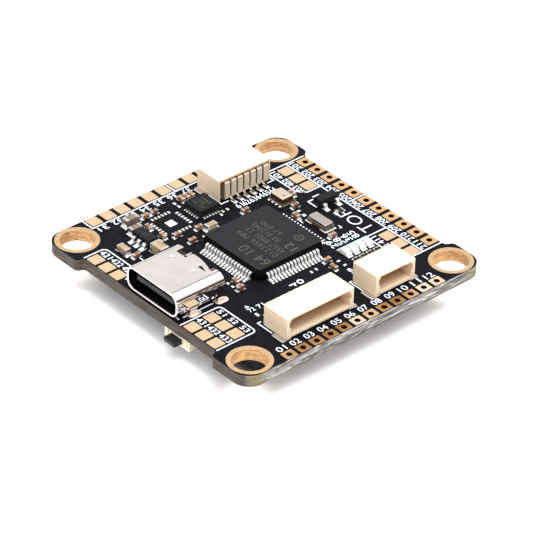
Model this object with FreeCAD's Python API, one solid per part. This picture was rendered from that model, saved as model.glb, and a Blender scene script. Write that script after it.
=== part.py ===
import FreeCAD, Part
import math, os

# Flight controller board for a small multirotor, on the 30.5 mm stacking pattern.
# Frame: +Z up through the board, micro-controller side up; -Y is the USB edge;
# +X is the edge with the twelve through-plated pads. The origin is the centre of
# the four mounting holes, on the board's underside. All lengths are millimetres.

V = FreeCAD.Vector

# ---------------------------------------------------------------- driving sizes
board_t = 1.5            # finished board thickness
mask_t = 0.03            # solder mask, and the copper below it
pad_proud = 0.015        # plated pads stand this far above the mask
edge_x = 17.95           # half width across X
ear_y = 18.0             # half length at the four corner ears
waist_y = 17.0           # half length between the ears
corner_r = 2.15
hole_pitch = 30.5        # mounting holes, square
hole_r = 2.05            # finished bore, for M3 with a soft grommet
barrel_t = 0.10
ring_r = 2.66
via_r = 0.37             # through-plated pad bore
via_barrel = 0.45

mcu_cx, mcu_cy = -0.42, 0.25
mcu_body = 10.0
mcu_span = 12.0
mcu_h = 1.5
mcu_pitch = 0.5

usb_cx = 0.14
usb_w, usb_h, usb_r = 8.90, 3.14, 1.20
usb_wall = 0.30
usb_front = -16.80
usb_z = board_t + 0.05

hdr_h = 2.86             # 1.0 mm pitch side-entry headers
hdr_body = 3.95          # depth without the rear ribs
hdr_rib = 0.42
hdr_floor = 0.52         # mouth floor above the board
hdr_sheet = 0.28         # thickness of the mouth's floor lip
hdr_roof = 0.24          # thickness of the mouth's upper lip
hdr_side = 0.58          # thickness of each side wall

sw_x0, sw_x1 = 2.50, 6.88      # boot switch, under the board
sw_y0, sw_y1 = -16.87, -13.45
sw_drop = 1.50
btn_w, btn_h = 1.80, 0.58
btn_cx, btn_cz = 4.65, -0.73
btn_front = -18.02
btn_gap = 0.04           # running clearance each side
btn_travel = 0.25

zt = board_t
pt = zt + pad_proud      # top of the upper pads
pb = -pad_proud          # bottom of the lower pads

NODES = {}


def put(name, shapes):
    if not isinstance(shapes, (list, tuple)):
        shapes = [shapes]
    NODES.setdefault(name, []).extend(shapes)


# ---------------------------------------------------------------- small helpers
def box(x0, x1, y0, y1, z0, z1):
    return Part.makeBox(x1 - x0, y1 - y0, z1 - z0, V(x0, y0, z0))


def cbox(cx, cy, sx, sy, z0, z1):
    return box(cx - sx / 2, cx + sx / 2, cy - sy / 2, cy + sy / 2, z0, z1)


def cyl(x, y, z0, z1, r):
    return Part.makeCylinder(r, z1 - z0, V(x, y, z0))


def poly_wire(pts):
    return Part.makePolygon([V(*p) for p in pts] + [V(*pts[0])])


def rr_wire(cx, cy, sx, sy, r, z):
    x0, x1, y0, y1 = cx - sx / 2, cx + sx / 2, cy - sy / 2, cy + sy / 2
    r = min(r, sx / 2 - 1e-4, sy / 2 - 1e-4)
    k = r * (1 - math.sqrt(0.5))
    e = []

    def ln(a, b):
        if (V(*a) - V(*b)).Length > 1e-6:
            e.append(Part.LineSegment(V(*a), V(*b)).toShape())

    def ar(a, m, b):
        e.append(Part.Arc(V(*a), V(*m), V(*b)).toShape())

    ln((x0 + r, y0, z), (x1 - r, y0, z))
    ar((x1 - r, y0, z), (x1 - k, y0 + k, z), (x1, y0 + r, z))
    ln((x1, y0 + r, z), (x1, y1 - r, z))
    ar((x1, y1 - r, z), (x1 - k, y1 - k, z), (x1 - r, y1, z))
    ln((x1 - r, y1, z), (x0 + r, y1, z))
    ar((x0 + r, y1, z), (x0 + k, y1 - k, z), (x0, y1 - r, z))
    ln((x0, y1 - r, z), (x0, y0 + r, z))
    ar((x0, y0 + r, z), (x0 + k, y0 + k, z), (x0 + r, y0, z))
    return Part.Wire(e)


def circ_wire(x, y, r, z):
    return Part.Wire([Part.Circle(V(x, y, z), V(0, 0, 1), r).toShape()])


def face(wires):
    if len(wires) == 1:
        return Part.Face(wires[0])
    return Part.makeFace(wires, "Part::FaceMakerBullseye")


def slab(wires, h):
    return face(wires).extrude(V(0, 0, h))


def rbox(cx, cy, sx, sy, z0, z1, r):
    return slab([rr_wire(cx, cy, sx, sy, r, z0)], z1 - z0)


def soften(shape, r, pick=None):
    """Round a solid's edges; pick chooses them by their centre."""
    edges = [e for e in shape.Edges if pick is None or pick(e)]
    try:
        s = shape.makeFillet(r, edges)
        if s.isValid() and s.Volume > 0:
            return s
    except Exception:
        pass
    return shape


def frustum(cx, cy, lo, hi, z0, z1, ch):
    """Moulded body with draft: octagon lo at z0, octagon hi at z1."""
    def octo(s, z, c):
        hx, hy = s[0] / 2, s[1] / 2
        return poly_wire([(cx - hx + c, cy - hy, z), (cx + hx - c, cy - hy, z), (cx + hx, cy - hy + c, z),
                          (cx + hx, cy + hy - c, z), (cx + hx - c, cy + hy, z), (cx - hx + c, cy + hy, z),
                          (cx - hx, cy + hy - c, z), (cx - hx, cy - hy + c, z)])
    return Part.makeLoft([octo(lo, z0, ch), octo(hi, z1, ch)], True, True)


def strip(path, th, width):
    """Bent sheet: path is (u, v) points of the centre line, th its thickness.
    Returned along +X from u, up +Z from v, centred on Y."""
    n = len(path)
    up, dn = [], []
    for i, (u, v) in enumerate(path):
        ds = []
        if i > 0:
            d = (u - path[i - 1][0], v - path[i - 1][1]); ds.append(d)
        if i < n - 1:
            d = (path[i + 1][0] - u, path[i + 1][1] - v); ds.append(d)
        ns = []
        for a, b in ds:
            m = math.hypot(a, b); ns.append((-b / m, a / m))
        if len(ns) == 2:
            nx, ny = ns[0][0] + ns[1][0], ns[0][1] + ns[1][1]
            m = math.hypot(nx, ny); nx, ny = nx / m, ny / m
            c = nx * ns[0][0] + ny * ns[0][1]
            k = th / 2 / c
        else:
            nx, ny = ns[0]; k = th / 2
        up.append((u + nx * k, v + ny * k)); dn.append((u - nx * k, v - ny * k))
    pts = [(u, -width / 2, v) for u, v in up] + [(u, -width / 2, v) for u, v in reversed(dn)]
    return Part.Face(poly_wire(pts)).extrude(V(0, width, 0))


def place(shape, x, y, z=0.0, deg=0.0):
    s = shape.copy()
    if deg:
        s.rotate(V(0, 0, 0), V(0, 0, 1), deg)
    s.translate(V(x, y, z))
    return s


def flip(shape):
    """Turn a part made for the top side over to the underside."""
    s = shape.copy()
    s.rotate(V(0, 0, zt / 2), V(0, 1, 0), 180)
    return s


# ---------------------------------------------------------------- board outline
def outline(inset, z):
    ex, ey, wy, r = edge_x - inset, ear_y - inset, waist_y - inset, corner_r - inset
    e = []

    def ln(a, b):
        e.append(Part.LineSegment(V(*a, z), V(*b, z)).toShape())

    def ar3(a, m, b):
        e.append(Part.Arc(V(*a, z), V(*m, z), V(*b, z)).toShape())

    def scurve(a, b):
        # two tangent arcs from a to b, both ends running along X
        dx, dy = (b[0] - a[0]) / 2, (b[1] - a[1]) / 2
        R = (dx * dx + dy * dy) / (2 * abs(dy))
        mid = (a[0] + dx, a[1] + dy)
        sy = 1 if dy > 0 else -1
        c1 = (a[0], a[1] + sy * R)
        c2 = (b[0], b[1] - sy * R)
        for c, p, q in ((c1, a, mid), (c2, mid, b)):
            ux, uy = (p[0] + q[0]) / 2 - c[0], (p[1] + q[1]) / 2 - c[1]
            m = math.hypot(ux, uy)
            ar3(p, (c[0] + ux / m * R, c[1] + uy / m * R), q)

    k = r * (1 - math.sqrt(0.5))
    # -Y side, from the -X corner to the +X corner
    ln((-ex + r, -ey), (-12.45, -ey)); scurve((-12.45, -ey), (-11.25, -wy))
    ln((-11.25, -wy), (11.20, -wy)); scurve((11.20, -wy), (12.40, -ey))
    ln((12.40, -ey), (ex - r, -ey)); ar3((ex - r, -ey), (ex - k, -ey + k), (ex, -ey + r))
    ln((ex, -ey + r), (ex, ey - r)); ar3((ex, ey - r), (ex - k, ey - k), (ex - r, ey))
    ln((ex - r, ey), (13.25, ey)); scurve((13.25, ey), (11.95, wy))
    ln((11.95, wy), (-11.95, wy)); scurve((-11.95, wy), (-13.25, ey))
    ln((-13.25, ey), (-ex + r, ey)); ar3((-ex + r, ey), (-ex + k, ey - k), (-ex, ey - r))
    ln((-ex, ey - r), (-ex, -ey + r)); ar3((-ex, -ey + r), (-ex + k, -ey + k), (-ex + r, -ey))
    return Part.Wire(e)


# ---------------------------------------------------------------- pads
top_open, bot_open = [], []        # mask openings as wires
drill = []                         # laminate openings as (x, y, r) or wires


def land(node, cx, cy, sx, sy, side=1, r=0.04):
    """One plated land in a mask opening of the same outline."""
    if side > 0:
        top_open.append(lambda z, a=(cx, cy, sx, sy, r): rr_wire(*a, z))
        put(node, slab([rr_wire(cx, cy, sx, sy, r, zt - mask_t)], mask_t + pad_proud))
    else:
        bot_open.append(lambda z, a=(cx, cy, sx, sy, r): rr_wire(*a, z))
        put(node, slab([rr_wire(cx, cy, sx, sy, r, pb)], mask_t + pad_proud))


def plated_pad(node, cx, cy, sx, sy, hx, hy, r=0.12):
    """Square land both sides, joined by a plated barrel."""
    for lst in (top_open, bot_open):
        lst.append(lambda z, a=(cx, cy, sx, sy, r): rr_wire(*a, z))
    drill.append((hx, hy, via_barrel))
    t = slab([rr_wire(cx, cy, sx, sy, r, zt - mask_t), circ_wire(hx, hy, via_r, zt - mask_t)], mask_t + pad_proud)
    b = slab([rr_wire(cx, cy, sx, sy, r, pb), circ_wire(hx, hy, via_r, pb)], mask_t + pad_proud)
    m = slab([circ_wire(hx, hy, via_barrel, mask_t), circ_wire(hx, hy, via_r, mask_t)], zt - 2 * mask_t)
    put(node, t.fuse([m, b]).removeSplitter())


# through-plated pads, back row and right column
for k in range(11):
    plated_pad("back_row_pads", -11.05 + 2.165 * k, 16.14, 1.62, 1.58, -11.05 + 2.165 * k, 16.2)
for k in range(12):
    plated_pad("side_row_pads", 17.20, -11.20 + 2.03 * k, 1.34, 1.58, 17.20, -11.20 + 2.03 * k)
# plain pads, left column (both sides of the board) and the four small banks
for k in range(12):
    land("left_row_pads", -17.03, -11.35 + 2.08 * k, 1.64, 1.55, 1, 0.15)
    land("left_row_pads", -17.03, -11.35 + 2.08 * k, 1.64, 1.55, -1, 0.15)
for x in (-10.95, -8.95, -6.98):
    land("led_bank_pads", x, 13.05, 1.60, 1.60, 1, 0.14)
for x in (6.85, 8.87, 10.88):
    land("led_bank_pads", x, 13.05, 1.60, 1.60, 1, 0.14)
for x in (-10.70, -8.70, -6.70):
    land("led_bank_pads", x, -16.08, 1.60, 1.60, 1, 0.14)
for x in (6.50, 8.47, 10.45):
    land("led_bank_pads", x, -16.08, 1.60, 1.60, 1, 0.14)
    land("led_bank_pads", x, -13.25, 1.60, 1.60, 1, 0.14)
# battery wire pads on the underside
for x in (-2.6, 0.7):
    land("battery_pads", x, 13.85, 2.4, 2.6, -1, 0.2)

# mounting holes
rings = []
for sx in (-1, 1):
    for sy in (-1, 1):
        x, y = sx * hole_pitch / 2, sy * hole_pitch / 2
        prof = [(hole_r + 0.05, pb), (ring_r, pb), (ring_r, mask_t), (hole_r + barrel_t, mask_t),
                (hole_r + barrel_t, zt - mask_t), (ring_r, zt - mask_t), (ring_r, pt), (hole_r + 0.05, pt),
                (hole_r, pt - 0.05), (hole_r, pb + 0.05)]
        f = Part.Face(poly_wire([(x + r, y, z) for r, z in prof]))
        rings.append(f.revolve(V(x, y, 0), V(0, 0, 1), 360))
        for lst in (top_open, bot_open):
            lst.append(lambda z, a=(x, y, ring_r): circ_wire(*a, z))
        drill.append((x, y, hole_r + barrel_t))
put("mounting_hole_rings", rings)

# ---------------------------------------------------------------- micro-controller
mz = zt + 0.10
mid = zt + 0.72
b1 = frustum(mcu_cx, mcu_cy, (mcu_body - 0.22, mcu_body - 0.22), (mcu_body, mcu_body), mz, mid, 0.34)
b2 = frustum(mcu_cx, mcu_cy, (mcu_body, mcu_body), (mcu_body - 0.26, mcu_body - 0.26), mid, zt + mcu_h, 0.34)
body = b1.fuse(b2)
body = soften(body, 0.06, lambda e: e.BoundBox.ZMin > zt + mcu_h - 0.001)
body = body.cut(cyl(-4.22, -3.22, zt + mcu_h - 0.06, zt + mcu_h + 1, 0.62))
put("mcu_body", body)
LQ = [(mcu_body / 2, 0.78), (mcu_body / 2 + 0.15, 0.78), (mcu_body / 2 + 0.24, 0.755), (mcu_body / 2 + 0.31, 0.69),
      (mcu_body / 2 + 0.35, 0.60), (mcu_body / 2 + 0.44, 0.26), (mcu_body / 2 + 0.49, 0.165), (mcu_body / 2 + 0.57, 0.11),
      (mcu_body / 2 + 0.68, 0.09), (mcu_span / 2, 0.09)]
lead = strip([(u, v) for u, v in LQ], 0.15, 0.26)
for q in range(4):
    for k in range(16):
        s = place(lead, 0, -3.75 + mcu_pitch * k, zt)
        put("mcu_leads", place(s, mcu_cx, mcu_cy, 0, 90 * q))
        a = math.radians(90 * q)
        u, w = 5.72, -3.75 + mcu_pitch * k
        cx, cy = mcu_cx + u * math.cos(a) - w * math.sin(a), mcu_cy + u * math.sin(a) + w * math.cos(a)
        lx, ly = (1.15, 0.30) if q % 2 == 0 else (0.30, 1.15)
        land("fine_pitch_lands", cx, cy, lx, ly)


# ---------------------------------------------------------------- leadless chips
def qfn(prefix, cx, cy, s, h, n, pitch, span, lw=0.24, ll=0.5, side=1, dimple=True):
    z0 = pt
    b = soften(cbox(cx, cy, s, s, z0 + 0.02, zt + h), 0.03, lambda e: e.BoundBox.ZMin > zt + h - 0.001)
    if dimple:
        b = b.cut(cyl(cx - s / 2 + 0.45, cy - s / 2 + 0.45, zt + h - 0.03, zt + h + 1, 0.16))
    leads = []
    for q in range(4):
        for k in range(n):
            a = math.radians(90 * q)
            w = (k - (n - 1) / 2) * pitch
            u0, u1 = s / 2 - 0.28, s / 2 + 0.02
            t = box(u0, u1, w - lw / 2, w + lw / 2, z0, z0 + 0.16)
            leads.append(place(t, cx, cy, 0, 90 * q))
    slots = leads[0].multiFuse(leads[1:]) if len(leads) > 1 else leads[0]
    b = b.cut(slots)
    if side < 0:
        b = flip(b); leads = [flip(x) for x in leads]
    put(prefix + "_body", b)
    put(prefix + "_leads", leads)


def qfn_lands(cx, cy, s, n, pitch, mid_r, lw, ll, side=1):
    for q in range(4):
        a = math.radians(90 * q)
        for k in range(n):
            w = (k - (n - 1) / 2) * pitch
            x, y = cx + mid_r * math.cos(a) - w * math.sin(a), cy + mid_r * math.sin(a) + w * math.cos(a)
            lx, ly = (ll, lw) if q % 2 == 0 else (lw, ll)
            if side > 0:
                land("fine_pitch_lands", x, y, lx, ly)
            else:
                land("underside_lands", -x, y, lx, ly, -1)


qfn("gyro", -11.10, 0.10, 3.0, 0.92, 6, 0.43, 3.7)
qfn_lands(-11.10, 0.10, 3.0, 6, 0.43, 1.56, 0.24, 0.58)
# the empty place of a second 4 x 4 mm chip
qfn_lands(-11.05, -4.68, 4.0, 6, 0.5, 1.93, 0.27, 0.46)
land("chip_lands", -11.05, -4.68, 1.15, 1.15, 1, 0.05)


# ---------------------------------------------------------------- small outline parts
def sot(prefix, cx, cy, bx, by, h, legs, deg=0, side=1, th=0.13, lw=0.40):
    """Body bx by by; legs = [(x, +1 or -1)] along the long side, out along Y."""
    b1 = frustum(0, 0, (bx - 0.12, by - 0.12), (bx, by), zt + 0.06, zt + h * 0.52, 0.03)
    b2 = frustum(0, 0, (bx, by), (bx - 0.16, by - 0.16), zt + h * 0.52, zt + h, 0.03)
    b = b1.fuse(b2)
    out = [b]
    path = [(by / 2, h * 0.52), (by / 2 + 0.13, h * 0.52), (by / 2 + 0.22, h * 0.48), (by / 2 + 0.27, h * 0.40),
            (by / 2 + 0.33, 0.18), (by / 2 + 0.38, 0.105), (by / 2 + 0.46, pad_proud + th / 2), (by / 2 + 0.62, pad_proud + th / 2)]
    lg = strip(path, th, lw)
    ls = []
    for x, s in legs:
        t = place(lg, 0, 0, zt, 90 if s > 0 else -90)
        t.translate(V(x, 0, 0))
        ls.append(t)
    res = []
    for s in [b] + ls:
        t = place(s, cx, cy, 0, deg)
        res.append(t if side > 0 else flip(t))
    put(prefix + "_body", res[0])
    put(prefix + "_leads", res[1:])
    a = math.radians(deg)
    for x, s in legs:
        u, w = x, s * (by / 2 + 0.42)
        X, Y = cx + u * math.cos(a) - w * math.sin(a), cy + u * math.sin(a) + w * math.cos(a)
        sx, sy = (lw + 0.22, 0.95) if deg % 180 == 0 else (0.95, lw + 0.22)
        if side > 0:
            land("chip_lands", X, Y, sx, sy, 1, 0.06)
        else:
            land("underside_lands", -X, Y, sx, sy, -1, 0.06)


sot("regulator", -9.95, -9.42, 2.9, 1.6, 1.10,
    [(-0.95, -1), (0, -1), (0.95, -1), (-0.95, 1), (0.95, 1)])
sot("transistor", -2.85, 12.25, 2.9, 1.3, 1.02, [(-0.95, -1), (0.95, -1), (0, 1)], deg=90)

# pressure sensor: laminate base and a vented metal lid
bx, by = -6.62, 8.55
put("barometer_base", cbox(bx, by, 2.5, 2.0, pt, zt + 0.30))
lid = soften(cbox(bx, by, 2.22, 1.72, zt + 0.30, zt + 0.95), 0.14,
             lambda e: e.BoundBox.ZMin > zt + 0.94 or (e.BoundBox.ZLength > 0.5))
lid = lid.cut(cyl(bx + 0.45, by - 0.12, zt + 0.70, zt + 2, 0.13))
put("barometer_lid", lid)
for k in range(4):
    for s in (-1, 1):
        land("fine_pitch_lands", bx - 0.98 + 0.65 * k, by + s * 1.06, 0.30, 0.42)

# crystal: ceramic base and seam-welded lid
cx, cy = 0.15, 8.68
put("crystal_base", soften(cbox(cx, cy, 3.2, 1.5, pt, zt + 0.42), 0.08, lambda e: e.BoundBox.ZLength > 0.3))
put("crystal_lid", soften(soften(cbox(cx, cy, 3.02, 1.32, zt + 0.42, zt + 0.80), 0.22, lambda e: e.BoundBox.ZLength > 0.3),
                          0.07, lambda e: e.BoundBox.ZMin > zt + 0.79))
for s in (-1, 1):
    land("chip_lands", cx + s * 1.25, cy, 1.15, 1.75, 1, 0.05)


# ---------------------------------------------------------------- chip passives
def chip(cx, cy, L, W, H, along, bodynode, capnode, cap=0.22, side=1, landnode="chip_lands", grow=0.22, slim=0.0):
    """Ceramic or resistor chip: a body between two wrapped end caps."""
    z0 = pt
    b = cbox(0, 0, L - 2 * cap, W - 0.04, z0 + 0.015, zt + H - 0.015 - slim)
    caps = []
    for s in (-1, 1):
        c = cbox(s * (L / 2 - cap / 2), 0, cap, W, z0, zt + H)
        c = soften(c, min(0.07, cap * 0.3), lambda e, s=s: abs(e.CenterOfMass.x) > L / 2 - 0.02)
        caps.append(c)
    deg = 0 if along == "x" else 90
    out = [place(b, cx, cy, 0, deg)] + [place(c, cx, cy, 0, deg) for c in caps]
    if side < 0:
        out = [flip(o) for o in out]
    put(bodynode, out[0])
    put(capnode, out[1:])
    for s in (-1, 1):
        d = L / 2 - cap / 2 + grow / 2
        X, Y = (cx + s * d, cy) if along == "x" else (cx, cy + s * d)
        sx, sy = (cap + grow + 0.10, W + 0.06) if along == "x" else (W + 0.06, cap + grow + 0.10)
        land(landnode, X if side > 0 else -X, Y, sx, sy, side, 0.04)


TAN = ("large_capacitor_bodies", "large_capacitor_caps")
SML = ("small_capacitor_bodies", "small_capacitor_caps")
RES = ("resistor_bodies", "resistor_caps")
for x, y, L, W, H, d in [(-7.10, -9.67, 2.0, 1.25, 1.22, "x"), (-13.83, -8.40, 1.9, 1.0, 1.05, "y")]:
    chip(x, y, L, W, H, d, *TAN, cap=0.38)
for x, y, d in [(-12.22, -9.05, "y"), (-9.85, -12.72, "x")]:
    chip(x, y, 1.6, 0.82, 0.84, d, *TAN, cap=0.30)
chip(-7.30, -1.78, 1.5, 0.78, 0.70, "y", *TAN, cap=0.28)
for x, y, d in [(-8.20, -12.20, "y"), (-13.85, -6.30, "y"), (-13.85, -4.95, "y"), (-13.98, 0.80, "x"), (-13.98, 0.08, "x"),
                (-13.98, -0.66, "x"), (-11.80, -7.42, "x"), (-9.35, -7.30, "x"), (-8.45, -5.90, "y"), (-6.50, -5.25, "y"),
                (-8.10, -2.95, "y"), (-7.40, 3.55, "y"), (-6.62, 10.18, "x"), (-4.45, 8.72, "y"), (-2.75, 7.42, "x"),
                (3.00, 7.88, "y"), (6.40, 4.05, "y"), (7.95, 3.70, "x"), (3.00, -6.78, "x"), (4.30, -7.25, "y")]:
    chip(x, y, 1.0, 0.52, 0.52, d, *SML, grow=0.10)
for x, y, d in [(-0.40, 12.10, "y"), (8.55, 10.15, "x"), (8.55, 9.05, "x"), (8.55, 7.95, "x"), (8.55, 6.85, "x")]:
    chip(x, y, 1.0, 0.52, 0.37, d, *RES)
# bare lands left for parts that are not fitted
for x, y, sx, sy in [(-9.15, 2.33, 0.5, 0.3), (-9.15, 1.60, 0.5, 0.3), (-8.75, 1.02, 0.5, 0.3), (6.75, 2.08, 0.46, 0.28),
                     (6.85, 1.28, 0.46, 0.28), (-3.55, 8.50, 0.36, 0.5), (-2.50, 8.42, 0.5, 0.45), (7.15, 5.15, 0.3, 0.46),
                     (8.20, 5.20, 0.3, 0.46), (-13.98, -1.72, 0.5, 0.34), (-13.18, -1.70, 0.5, 0.34),
                     (2.52, -7.55, 0.42, 0.34), (3.35, -7.55, 0.42, 0.34)]:
    land("chip_lands", x, y, sx, sy)

# status lamps: four 0603 lamps, each a plated base with a clear cap
for k in range(4):
    x, y = 6.40, 10.15 - 1.10 * k
    b = cbox(x, y, 1.6, 0.80, pt, zt + 0.26)
    put("status_led_bases", b)
    l = soften(cbox(x, y, 1.08, 0.78, zt + 0.26, zt + 0.58), 0.06, lambda e: e.BoundBox.ZMin > zt + 0.57)
    put("status_led_lenses", l)
    for s in (-1, 1):
        land("chip_lands", x + s * 0.78, y, 0.62, 0.80, 1, 0.04)


# ---------------------------------------------------------------- side-entry headers
def header(prefix, n, x_front, cy, deg):
    """Shrouded side-entry header. Local +X is the mouth; x = 0 is the mouth plane."""
    W = n + 2.0
    z0 = zt + 0.05
    z1 = zt + hdr_h
    D = hdr_body
    b = box(-D, 0, -W / 2, W / 2, z0, z1)
    b = soften(b, 0.09, lambda e: e.BoundBox.ZMin > z1 - 0.001 or e.BoundBox.ZLength > 1)
    # raised belly: the front of the floor clears the board between the end feet
    b = b.cut(box(-1.30, 1, -W / 2 + 0.62, W / 2 - 0.62, z0 - 1, zt + hdr_floor - hdr_sheet))
    # mouth
    cw = W - 2 * hdr_side
    zc = z1 - hdr_roof
    cav = box(-D + 0.75, 1, -cw / 2, cw / 2, zt + hdr_floor, zc)
    b = b.cut(cav)
    for s in (-1, 1):
        # ledge in the mouth's upper corner
        b = b.fuse(box(-D + 0.75, -0.22, min(s * cw / 2, s * (cw / 2 - 0.30)), max(s * cw / 2, s * (cw / 2 - 0.30)),
                       zc - 0.30, zc))
        # key groove in the side wall, below the ledge
        b = b.cut(box(-1.90, 1, min(s * (cw / 2 - 0.01), s * (cw / 2 + 0.20)), max(s * (cw / 2 - 0.01), s * (cw / 2 + 0.20)),
                      zt + 1.42, zc - 0.34))
    # lead-in chamfer inside the mouth
    # rear ribs, one more than there are contacts
    for k in range(n + 1):
        y = (k - n / 2) * 1.0
        r = box(-D - hdr_rib, -D, y - 0.36, y + 0.36, zt + 0.30, z1 - 0.32)
        r = soften(r, 0.12, lambda e: e.BoundBox.ZMin > z1 - 0.33 and e.BoundBox.XMax < -D - hdr_rib + 0.01)
        b = b.fuse(r)
    # rear pockets beside the outer ribs, for the fixing clips
    for s in (-1, 1):
        b = b.cut(box(-D - 0.01, -D + 0.70, min(s * (W / 2 - 0.20), s * (W / 2 - 0.62)), max(s * (W / 2 - 0.20), s * (W / 2 - 0.62)),
                      zt + 0.02, z1 - 0.36))
    contacts, chans = [], []
    for k in range(n):
        y = (k - (n - 1) / 2) * 1.0
        blade = box(-D - 0.10, -1.25, y - 0.15, y + 0.15, zt + 1.42, zt + 1.62)
        blade = soften(blade, 0.05, lambda e: e.BoundBox.XMin > -1.26 and e.BoundBox.ZLength < 0.01)
        tail = strip([(-D - 0.14, 1.62), (-D - 0.14, 0.62), (-D - 0.24, 0.42), (-D - 0.52, 0.17), (-D - 0.66, pad_proud + 0.08),
                      (-D - 1.28, pad_proud + 0.08)], 0.16, 0.26)
        tail.translate(V(0, y, zt))
        c = blade.fuse(tail).removeSplitter()
        contacts.append(c)
        chans.append(box(-D - 0.30, -1.20, y - 0.15, y + 0.15, zt + 1.42, zt + 1.62))
        # the channel that the tail drops through, between two ribs
        chans.append(box(-D - 0.24, -D + 0.001, y - 0.14, y + 0.14, zt + 0.0, zt + 1.72))
    b = b.cut(chans[0].multiFuse(chans[1:]))
    clips = []
    for s in (-1, 1):
        y0 = s * W / 2
        foot = box(-1.80, -0.08, min(y0, y0 + s * 0.52), max(y0, y0 + s * 0.52), pt, zt + 0.22)
        foot = soften(foot, 0.06, lambda e: e.BoundBox.ZMin > zt + 0.21)
        clips.append(foot)
        rear = box(-D + 0.10, -D + 0.30, min(s * (W / 2 - 0.20), s * (W / 2 - 0.60)), max(s * (W / 2 - 0.20), s * (W / 2 - 0.60)),
                   zt + 0.30, z1 - 0.66)
        clips.append(rear)

    def world(s):
        t = s.copy()
        t.rotate(V(0, 0, 0), V(0, 0, 1), deg)
        t.translate(V(x_front, cy, 0))
        return t
    put(prefix + "_housing", world(b))
    put(prefix + "_contacts", [world(c) for c in contacts])
    put("header_fixing_clips", [world(c) for c in clips])
    a = 1 if deg == 0 else -1
    for k in range(n):
        y = (k - (n - 1) / 2) * 1.0
        land("chip_lands", x_front + a * (-D - 1.05), cy + y * a, 0.95, 0.55, 1, 0.05)
    for s in (-1, 1):
        land("chip_lands", x_front - a * 0.94, cy + s * (W / 2 + 0.27), 1.86, 0.66, 1, 0.05)


header("header_8pin", 8, 15.15, -4.78, 0)
header("header_4pin", 4, 15.30, 6.47, 0)
header("header_6pin", 6, -14.95, 6.55, 180)

# ---------------------------------------------------------------- USB-C receptacle
uz0, uz1 = usb_z, usb_z + usb_h
uzc = (uz0 + uz1) / 2
u_body_end = -10.90
u_tab_end = -9.75


def stadium(w, h, r, y0, y1):
    x0, x1, z0, z1 = usb_cx - w / 2, usb_cx + w / 2, uzc - h / 2, uzc + h / 2
    k = r * (1 - math.sqrt(0.5))
    P = lambda x, z: V(x, y0, z)
    e = [Part.LineSegment(P(x0 + r, z0), P(x1 - r, z0)).toShape(),
         Part.Arc(P(x1 - r, z0), P(x1 - k, z0 + k), P(x1, z0 + r)).toShape(),
         Part.LineSegment(P(x1, z0 + r), P(x1, z1 - r)).toShape(),
         Part.Arc(P(x1, z1 - r), P(x1 - k, z1 - k), P(x1 - r, z1)).toShape(),
         Part.LineSegment(P(x1 - r, z1), P(x0 + r, z1)).toShape(),
         Part.Arc(P(x0 + r, z1), P(x0 + k, z1 - k), P(x0, z1 - r)).toShape(),
         Part.LineSegment(P(x0, z1 - r), P(x0, z0 + r)).toShape(),
         Part.Arc(P(x0, z0 + r), P(x0 + k, z0 + k), P(x0 + r, z0)).toShape()]
    return Part.Face(Part.Wire(e)).extrude(V(0, y1 - y0, 0))


outer = stadium(usb_w, usb_h, usb_r, usb_front, u_tab_end)
inner = stadium(usb_w - 2 * usb_wall, usb_h - 2 * usb_wall, usb_r - usb_wall, usb_front - 1, u_tab_end + 1)
shell = outer.cut(inner)
# rounded mouth rim
shell = soften(shell, 0.13, lambda e: e.BoundBox.YMax < usb_front + 0.001)
# rear: the top sheet keeps two corner tabs and a middle tongue, the rest ends earlier
xl, xr = usb_cx - usb_w / 2, usb_cx + usb_w / 2
cuts = [rbox(xl + 2.28, (u_body_end + u_tab_end) / 2 + 0.7, 1.30, 1.15 + 1.4, uz1 - 0.8, uz1 + 0.5, 0.22),
        rbox(xr - 1.72, (u_body_end + u_tab_end) / 2 + 0.95, 0.22, 0.65 + 1.4, uz1 - 0.8, uz1 + 0.5, 0.10),
        box(xl - 1, xr + 1, u_body_end, u_tab_end + 1, uz0 - 1, uzc + 0.30)]
tear = Part.Face(poly_wire([(1.28, -10.98, uz1 - 0.8), (1.45, -11.06, uz1 - 0.8), (2.62, -10.98, uz1 - 0.8), (2.62, -10.94, uz1 - 0.8),
                            (1.62, -10.62, uz1 - 0.8), (1.38, -10.66, uz1 - 0.8)])).extrude(V(0, 0, 2))
# side windows above the board that free the four legs
for s in (-1, 1):
    xs = xl - 0.5 if s < 0 else xr - 0.5
    for y0, y1 in ((-15.55, -15.15), (-13.45, -13.05), (-11.35, -10.95)):
        cuts.append(box(xs, xs + 1.0, y0, y1, uz0 - 0.5, uz0 + 1.02))
shell = shell.cut(cuts)
# middle tongue: its rear edge is an arc in plan, rolled down over the moulding
def tongue_plan(dx, dy, z):
    P = lambda x, y: V(x, y, z)
    q = [P(-1.21 + dx, -10.60), P(2.69 - dx, -10.60), P(2.69 - dx, -10.30 - dy), P(1.25, -9.77 - dy), P(-0.75 + dx / 2, -9.54 - dy),
         P(-1.08 + dx * 0.8, -9.66 - dy), P(-1.21 + dx, -9.98 - dy)]
    e = [Part.LineSegment(q[0], q[1]).toShape(), Part.LineSegment(q[1], q[2]).toShape(), Part.Arc(q[2], q[3], q[4]).toShape(),
         Part.Arc(q[4], q[5], q[6]).toShape(), Part.LineSegment(q[6], q[0]).toShape()]
    return Part.Face(Part.Wire(e))


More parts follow.
